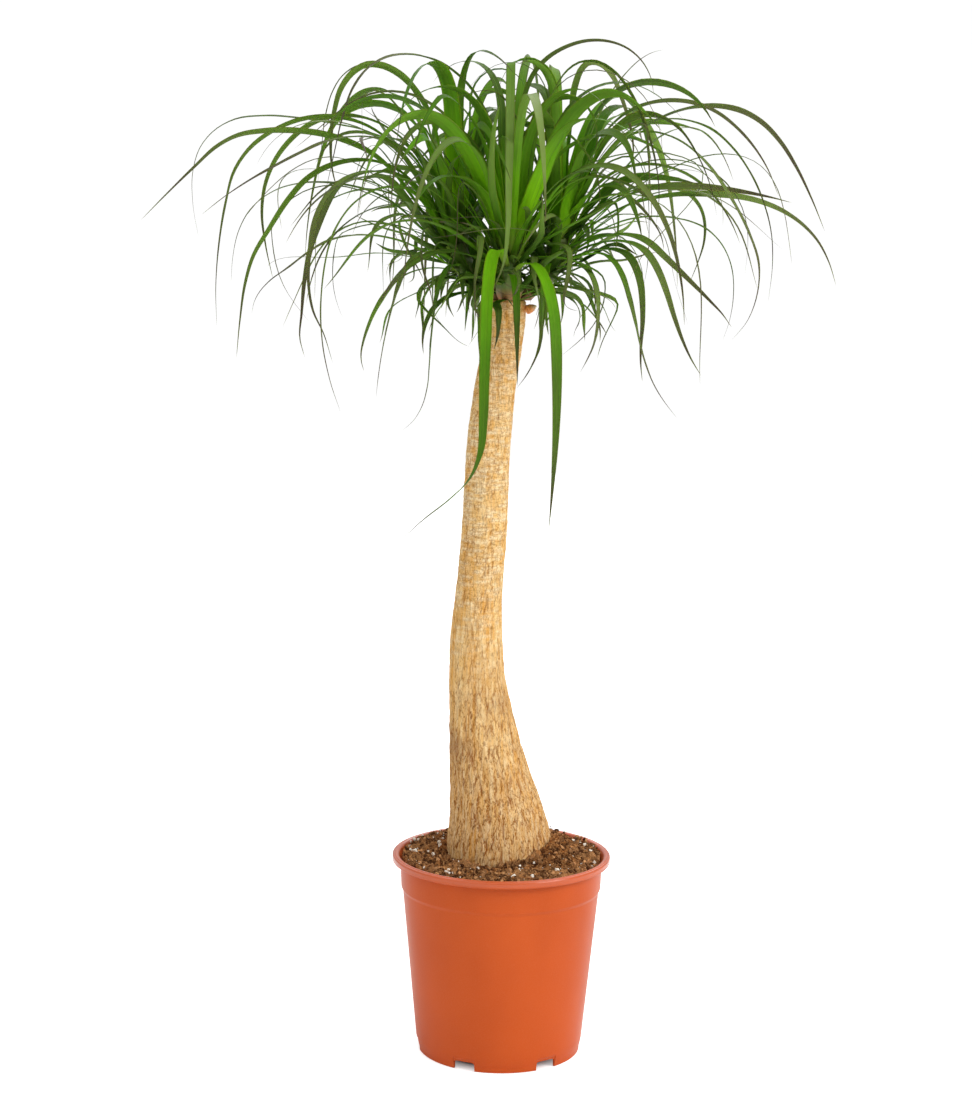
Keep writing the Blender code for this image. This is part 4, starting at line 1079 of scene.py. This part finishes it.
crown = {
    "rows": 30,
    "skins": (6, 4),
    "heads": {"left": 180.0, "front": 270.0, "right": 0.0},     # which way each head leans out
    # Rings also set how strongly painted shade darkens the foot of their leaves, and how many of their leaves
    # get the faded grey-green with its painted sheen
    "usual": {"spread": 90, "swing": 110, "shy": 0, "deep": 0.0, "late": 0.0, "fadeAndSheenShare": 1.0},
    "rings": {
        "Heart": {
            "seeds": (1, 31, 30), "count": (14, 14, 13), "seat": (0.65, 1.0), "pitch": (66, 89),
            "end": (-100, -15), "bend": (0.20, 0.52), "length": (0.24, 0.34), "width": (0.0130, 0.0205),
            "shade": (0.35, 1.0), "dry": (0.0, 0.15), "spread": 14, "swing": 24, "wobble": 5, "kink": 0.03,
            "fadeAndSheenShare": 0.25},
        "Tangle": {
            "seeds": (30, 38, 44), "count": (15, 12, 12), "seat": (0.25, 0.85), "pitch": (28, 72),
            "end": (-70, 40), "bend": (0.15, 0.70), "length": (0.12, 0.24), "width": (0.0080, 0.0130),
            "shade": (0.05, 0.60), "dry": (0.0, 0.5), "spread": 60, "swing": 95, "wobble": 13, "kink": 0.15,
            "deep": 0.7, "late": 0.1, "fadeAndSheenShare": 0.8},
        "Sheath": {
            "seeds": (47, 31, 50), "count": (14, 12, 14), "seat": (0.05, 0.80), "pitch": (10, 68),
            "end": (-70, 30), "bend": (0.05, 0.60), "length": (0.06, 0.14), "width": (0.0090, 0.0135),
            "shade": (0.0, 0.40), "dry": (0.0, 0.3), "spread": 30, "swing": 70, "wobble": 12, "kink": 0.05,
            "deep": 0.8, "fadeAndSheenShare": 0.6},
        "Arching": {
            "seeds": (3, 38, 16), "count": (15, 9, 8), "seat": (0.45, 0.90), "pitch": (42, 80),
            "end": (-105, -30), "bend": (0.05, 0.40), "length": (0.24, 0.42), "width": (0.0055, 0.0105),
            "shade": (0.05, 0.65), "dry": (0.4, 1.0), "spread": 40, "swing": 65, "wobble": 10, "kink": 0.25,
            "shy": 38, "deep": 0.4, "late": 0.45},
        "Drooping": {
            "seeds": (38, 44, 44), "count": (13, 10, 11), "seat": (0.12, 0.70), "pitch": (0, 62),
            "end": (-120, 20), "bend": (0.0, 0.40), "length": (0.09, 0.23), "width": (0.0055, 0.0105),
            "shade": (0.0, 0.50), "dry": (0.3, 0.9), "wobble": 18, "kink": 0.30, "deep": 0.6, "late": 0.3},
        "Skirt": {
            "seeds": (23, 23, 35), "count": (16, 14, 16), "seat": (0.0, 0.34), "pitch": (-20, 40),
            "end": (-130, -20), "bend": (0.0, 0.30), "length": (0.05, 0.125), "width": (0.0080, 0.0120),
            "shade": (0.0, 0.45), "dry": (0.1, 0.6), "wobble": 16, "kink": 0.15, "deep": 0.5, "late": 0.1,
            "fadeAndSheenShare": 0.9},
        "Thread": {
            "seeds": (1, 41, 32), "count": (11, 9, 11), "seat": (0.2, 1.0), "pitch": (30, 84),
            "end": (-110, -10), "bend": (0.05, 0.50), "length": (0.20, 0.42), "width": (0.0020, 0.0042),
            "shade": (0.0, 0.40), "dry": (0.8, 1.0), "swing": 85, "wobble": 14, "kink": 0.30, "shy": 40,
            "late": 0.2, "fadeAndSheenShare": 0.6},
    },
    "goldenTurn": 137.5,        # from a leaf to the next
    "ringTurn": 40,             # from a ring to the next
    "retryTurn": 17.0,
    "retryShorter": 0.96,       # length, and where it bends, against the try before
    "retryBend": 0.95,
    "leanPitch": 9,             # how much lower and longer a leaf is on the side to which its head leans
    "leanLength": 0.10,
    "dome": (1.087, 1.15),      # no added leaf rises above top - k r^2, with r from the trunk's top
    "margin": 0.004,            # inside the CAD's box
    "clear": 0.0006,
    "tries": 20,
}


def grownBlade(start, azimuth, first, last, bend, swing, wobble, kink, roll, length, width):
    # Pitch falls along an S curve from its first to its last value while the azimuth swings, both with a
    # wobble (degrees, turns, phase); a kink (place, degrees) folds it down. The path is the running sum of
    # those directions
    rows = crown["rows"]
    s = np.linspace(0, 1, rows)
    sway = wobble[0] * s * np.sin(2 * np.pi * (wobble[1] * s + wobble[2]))
    pitch = first + (last - first) * ease(bend, 1.02, s)**0.85 + sway
    pitch = pitch - kink[1] * ease(kink[0], kink[0] + 0.07, s)
    pitch = np.radians(np.maximum(pitch, -170))
    a = np.radians(azimuth + swing * s**1.5 + 1.5 * sway)
    along = np.stack([np.cos(pitch) * np.cos(a), np.cos(pitch) * np.sin(a), np.sin(pitch)], -1)
    steps = 0.5 * (along[1:] + along[:-1]) * length / (rows - 1)
    path = np.vstack([np.zeros(3), np.cumsum(steps, axis=0)]) + start
    flat = np.stack([-np.sin(a), np.cos(a), np.zeros(rows)], -1)
    tilt = np.cross(along, flat)
    turn = np.radians(roll) * s[:, None]
    return {"path": path, "side": flat * np.cos(turn) + tilt * np.sin(turn),
            "up": tilt * np.cos(turn) - flat * np.sin(turn), "length": length, "width": width}


def ribbonTree(blade, spare=0.0):
    # The blade past its crowded foot, as a flat ribbon that can be tested for touching others, and its box
    share = np.linspace(0, 1, len(blade["path"]))
    keep = share > 0.13
    reach = blade["side"] * (0.5 * bladeWidth(share, blade["width"]) + spare)[:, None]
    left, right = (blade["path"] - reach)[keep], (blade["path"] + reach)[keep]
    count = len(left)
    quads = [(k, k + 1, count + k + 1, count + k) for k in range(count - 1)]
    corners = np.vstack([left, right])
    return BVHTree.FromPolygons(corners.tolist(), quads), corners.min(0), corners.max(0)


def triedBlade(rng, head, ring, pick, stem, seatHeight, facing, attempt):
    # A leaf in its place, turned further and made shorter with each attempt
    azimuth = (facing + rng.uniform(-1, 1) * ring["spread"] + attempt * crown["retryTurn"]) % 360
    toFront = (azimuth - 270 + 180) % 360 - 180
    if abs(toFront) < ring["shy"]:
        azimuth = 270 + math.copysign(ring["shy"] + abs(toFront), toFront)
    lean = math.cos(math.radians(azimuth - crown["heads"][head]))
    pitch = min(89.0, pick["pitch"] - crown["leanPitch"] * lean + rng.uniform(-2, 2) * attempt)
    away = np.array([math.cos(math.radians(azimuth)), math.sin(math.radians(azimuth)), 0.0])
    start = np.array([stem[0], stem[1], seatHeight]) + away * (stem[2] - 0.0006)
    length = pick["length"] * (1 + crown["leanLength"] * lean) * crown["retryShorter"]**attempt
    wobble = (ring["wobble"], rng.uniform(0.8, 2.2), rng.uniform(0, 1))
    kink = (rng.uniform(0.35, 0.75), rng.uniform(40, 95) * (rng.uniform(0, 1) < ring["kink"]))
    swing, roll = ring["swing"] * rng.uniform(-1, 1), rng.uniform(-90, 90)
    bend = pick["bend"] * crown["retryBend"]**attempt
    return grownBlade(start, azimuth, pitch, pick["end"], bend, swing, wobble, kink, roll, length,
                      pick["width"])


def faults(blade, placed, middle):
    # How many placed leaves it touches, and 100 more where it leaves the dome or the CAD's box
    tree, lowest, highest = ribbonTree(blade, crown["clear"])
    path, margin = blade["path"], crown["margin"]
    top, fall = crown["dome"]
    outside = ((path < np.array(cadBox[0]) + margin).any() or (path > np.array(cadBox[1]) - margin).any()
               or (path[:, 2] > top - fall * np.sum((path[:, :2] - middle)**2, 1)).any())
    hits = sum(bool(tree.overlap(other)) for other, a, b in placed
               if (lowest < b).all() and (highest > a).all())
    return hits + 100 * outside


def growRing(head, ring, number, placed):
    # One ring of one head, in a golden spiral. A leaf with a fault is tried again, and the best try is kept
    order = list(crown["heads"]).index(head)
    rng = np.random.default_rng(ring["seeds"][order])
    middle = trunkFrame(np.array([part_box("trunk")[1].z]))[0][:2]
    low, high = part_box(f"shoot_{head}")
    blades = []
    for k in range(ring["count"][order]):
        pick = {key: rng.uniform(*ring[key])
                for key in ("seat", "pitch", "end", "bend", "length", "width", "shade")}
        seatHeight = low.z + (high.z - low.z) * pick["seat"]
        stem = shootFrame(head, np.array([seatHeight]))[0]
        facing = k * crown["goldenTurn"] + crown["ringTurn"] * number
        best, fewest = None, math.inf
        for attempt in range(crown["tries"]):
            tried = triedBlade(rng, head, ring, pick, stem, seatHeight, facing, attempt)
            found = faults(tried, placed, middle)
            if found < fewest:
                best, fewest = tried, found
            if found == 0:
                break
        best["shade"], best["dry"] = pick["shade"], rng.uniform(*ring["dry"])
        # the faded grey-green with painted sheen, commoner on some heads
        best["fadeAndSheen"] = rng.uniform(0, 1)**leaf["fadeAndSheenRarity"][head] * ring["fadeAndSheenShare"]
        best["deep"], best["late"], best["taper"] = ring["deep"], ring["late"], leaf["taper"]
        blades.append(best)
        placed.append(ribbonTree(best))
    return blades


def fillCrown(cadBlades, material):
    placed = [ribbonTree({**blade, "path": blade["path"][::2], "side": blade["side"][::2]})
              for blade in cadBlades.values()]
    for number, (title, ring) in enumerate(crown["rings"].items()):
        for head in crown["heads"]:
            blades = growRing(head, {**crown["usual"], **ring}, number, placed)
            mesh = bladeMesh(f"{head}{title}", blades, crown["rows"], crown["skins"], 90 + len(blades))
            addPiece(f"{head}{title}Leaves", mesh, material)


fillCrown(measured, strapLeaf)
print("crown filled")


# Floor and light

studio = {
    "zenith": 1.05,             # soft light from above, dimmer towards the horizon
    "horizon": 0.34,
    "backdrop": 1.02,
    "floorReach": 6,
    "floorHeight": -0.0004,
    "floorGlow": 0.55,
    "shade": (0.066, 0.086),    # the floor glows from here outward, not under the pot
    "aim": (0, 0, 0.6),
    "lights": {
        "key": {"place": (2.7, -1.7, 2.3), "size": 1.8, "power": 74},
        "fill": {"place": (-2.2, -2.4, 1.8), "size": 2.8, "power": 10},
        "back": {"place": (0.3, 2.4, 2.6), "size": 2.4, "power": 26},
    },
}


def areaLight(name, place, size, power):
    item = bpy.data.objects.new(name, bpy.data.lights.new(name, "AREA"))
    scene.collection.objects.link(item)
    item.data.size = size
    item.data.energy = power
    item.location = place
    item.rotation_euler = (Vector(studio["aim"]) - Vector(place)).to_track_quat("-Z", "Y").to_euler()


def makeSky():
    # It lights by height, and where it is seen it is even
    world = bpy.data.worlds.new("studio")
    scene.world = world
    world.use_nodes = True
    tree = world.node_tree
    seen = node(tree, "ShaderNodeLightPath").outputs["Is Camera Ray"]
    height = heightOf(tree, node(tree, "ShaderNodeTexCoord").outputs["Generated"])
    soft = remap(tree, height, 0.0, 0.9, studio["horizon"], studio["zenith"])
    lift = times(tree, seen, calc(tree, "SUBTRACT", studio["backdrop"], soft))
    background = tree.nodes["Background"]
    background.inputs["Color"].default_value = (1, 1, 1, 1)
    feed(tree, background.inputs["Strength"], calc(tree, "ADD", soft, lift))


def makeFloor():
    reach, z = studio["floorReach"], studio["floorHeight"]
    mesh = bpy.data.meshes.new("floor")
    mesh.from_pydata([(-reach, -reach, z), (reach, -reach, z), (reach, reach, z), (-reach, reach, z)], [],
                     [(0, 1, 2, 3)])
    floor = bpy.data.objects.new("floor", mesh)
    scene.collection.objects.link(floor)
    made, tree, shader = newMaterial("paleFloor", 0.9, 0.1)
    haze = grain(tree, objectPlace(tree), (1, 1, 1), 3.0, 2.0)
    feed(tree, shader.inputs["Base Color"], blend(tree, haze, (0.93, 0.93, 0.93), (0.95, 0.95, 0.95)))
    shader.inputs["Emission Color"].default_value = (1, 1, 1, 1)
    away = node(tree, "ShaderNodeVectorMath", {0: objectPlace(tree)}, operation="LENGTH").outputs["Value"]
    glow = remap(tree, away, *studio["shade"], 0.0, studio["floorGlow"])
    seen = node(tree, "ShaderNodeLightPath").outputs["Is Camera Ray"]
    feed(tree, shader.inputs["Emission Strength"], times(tree, seen, glow))
    mesh.materials.append(made)


makeSky()
for lightName, light in studio["lights"].items():
    areaLight(lightName, **light)
makeFloor()
scene.view_settings.view_transform = "Standard"
print("studio set")
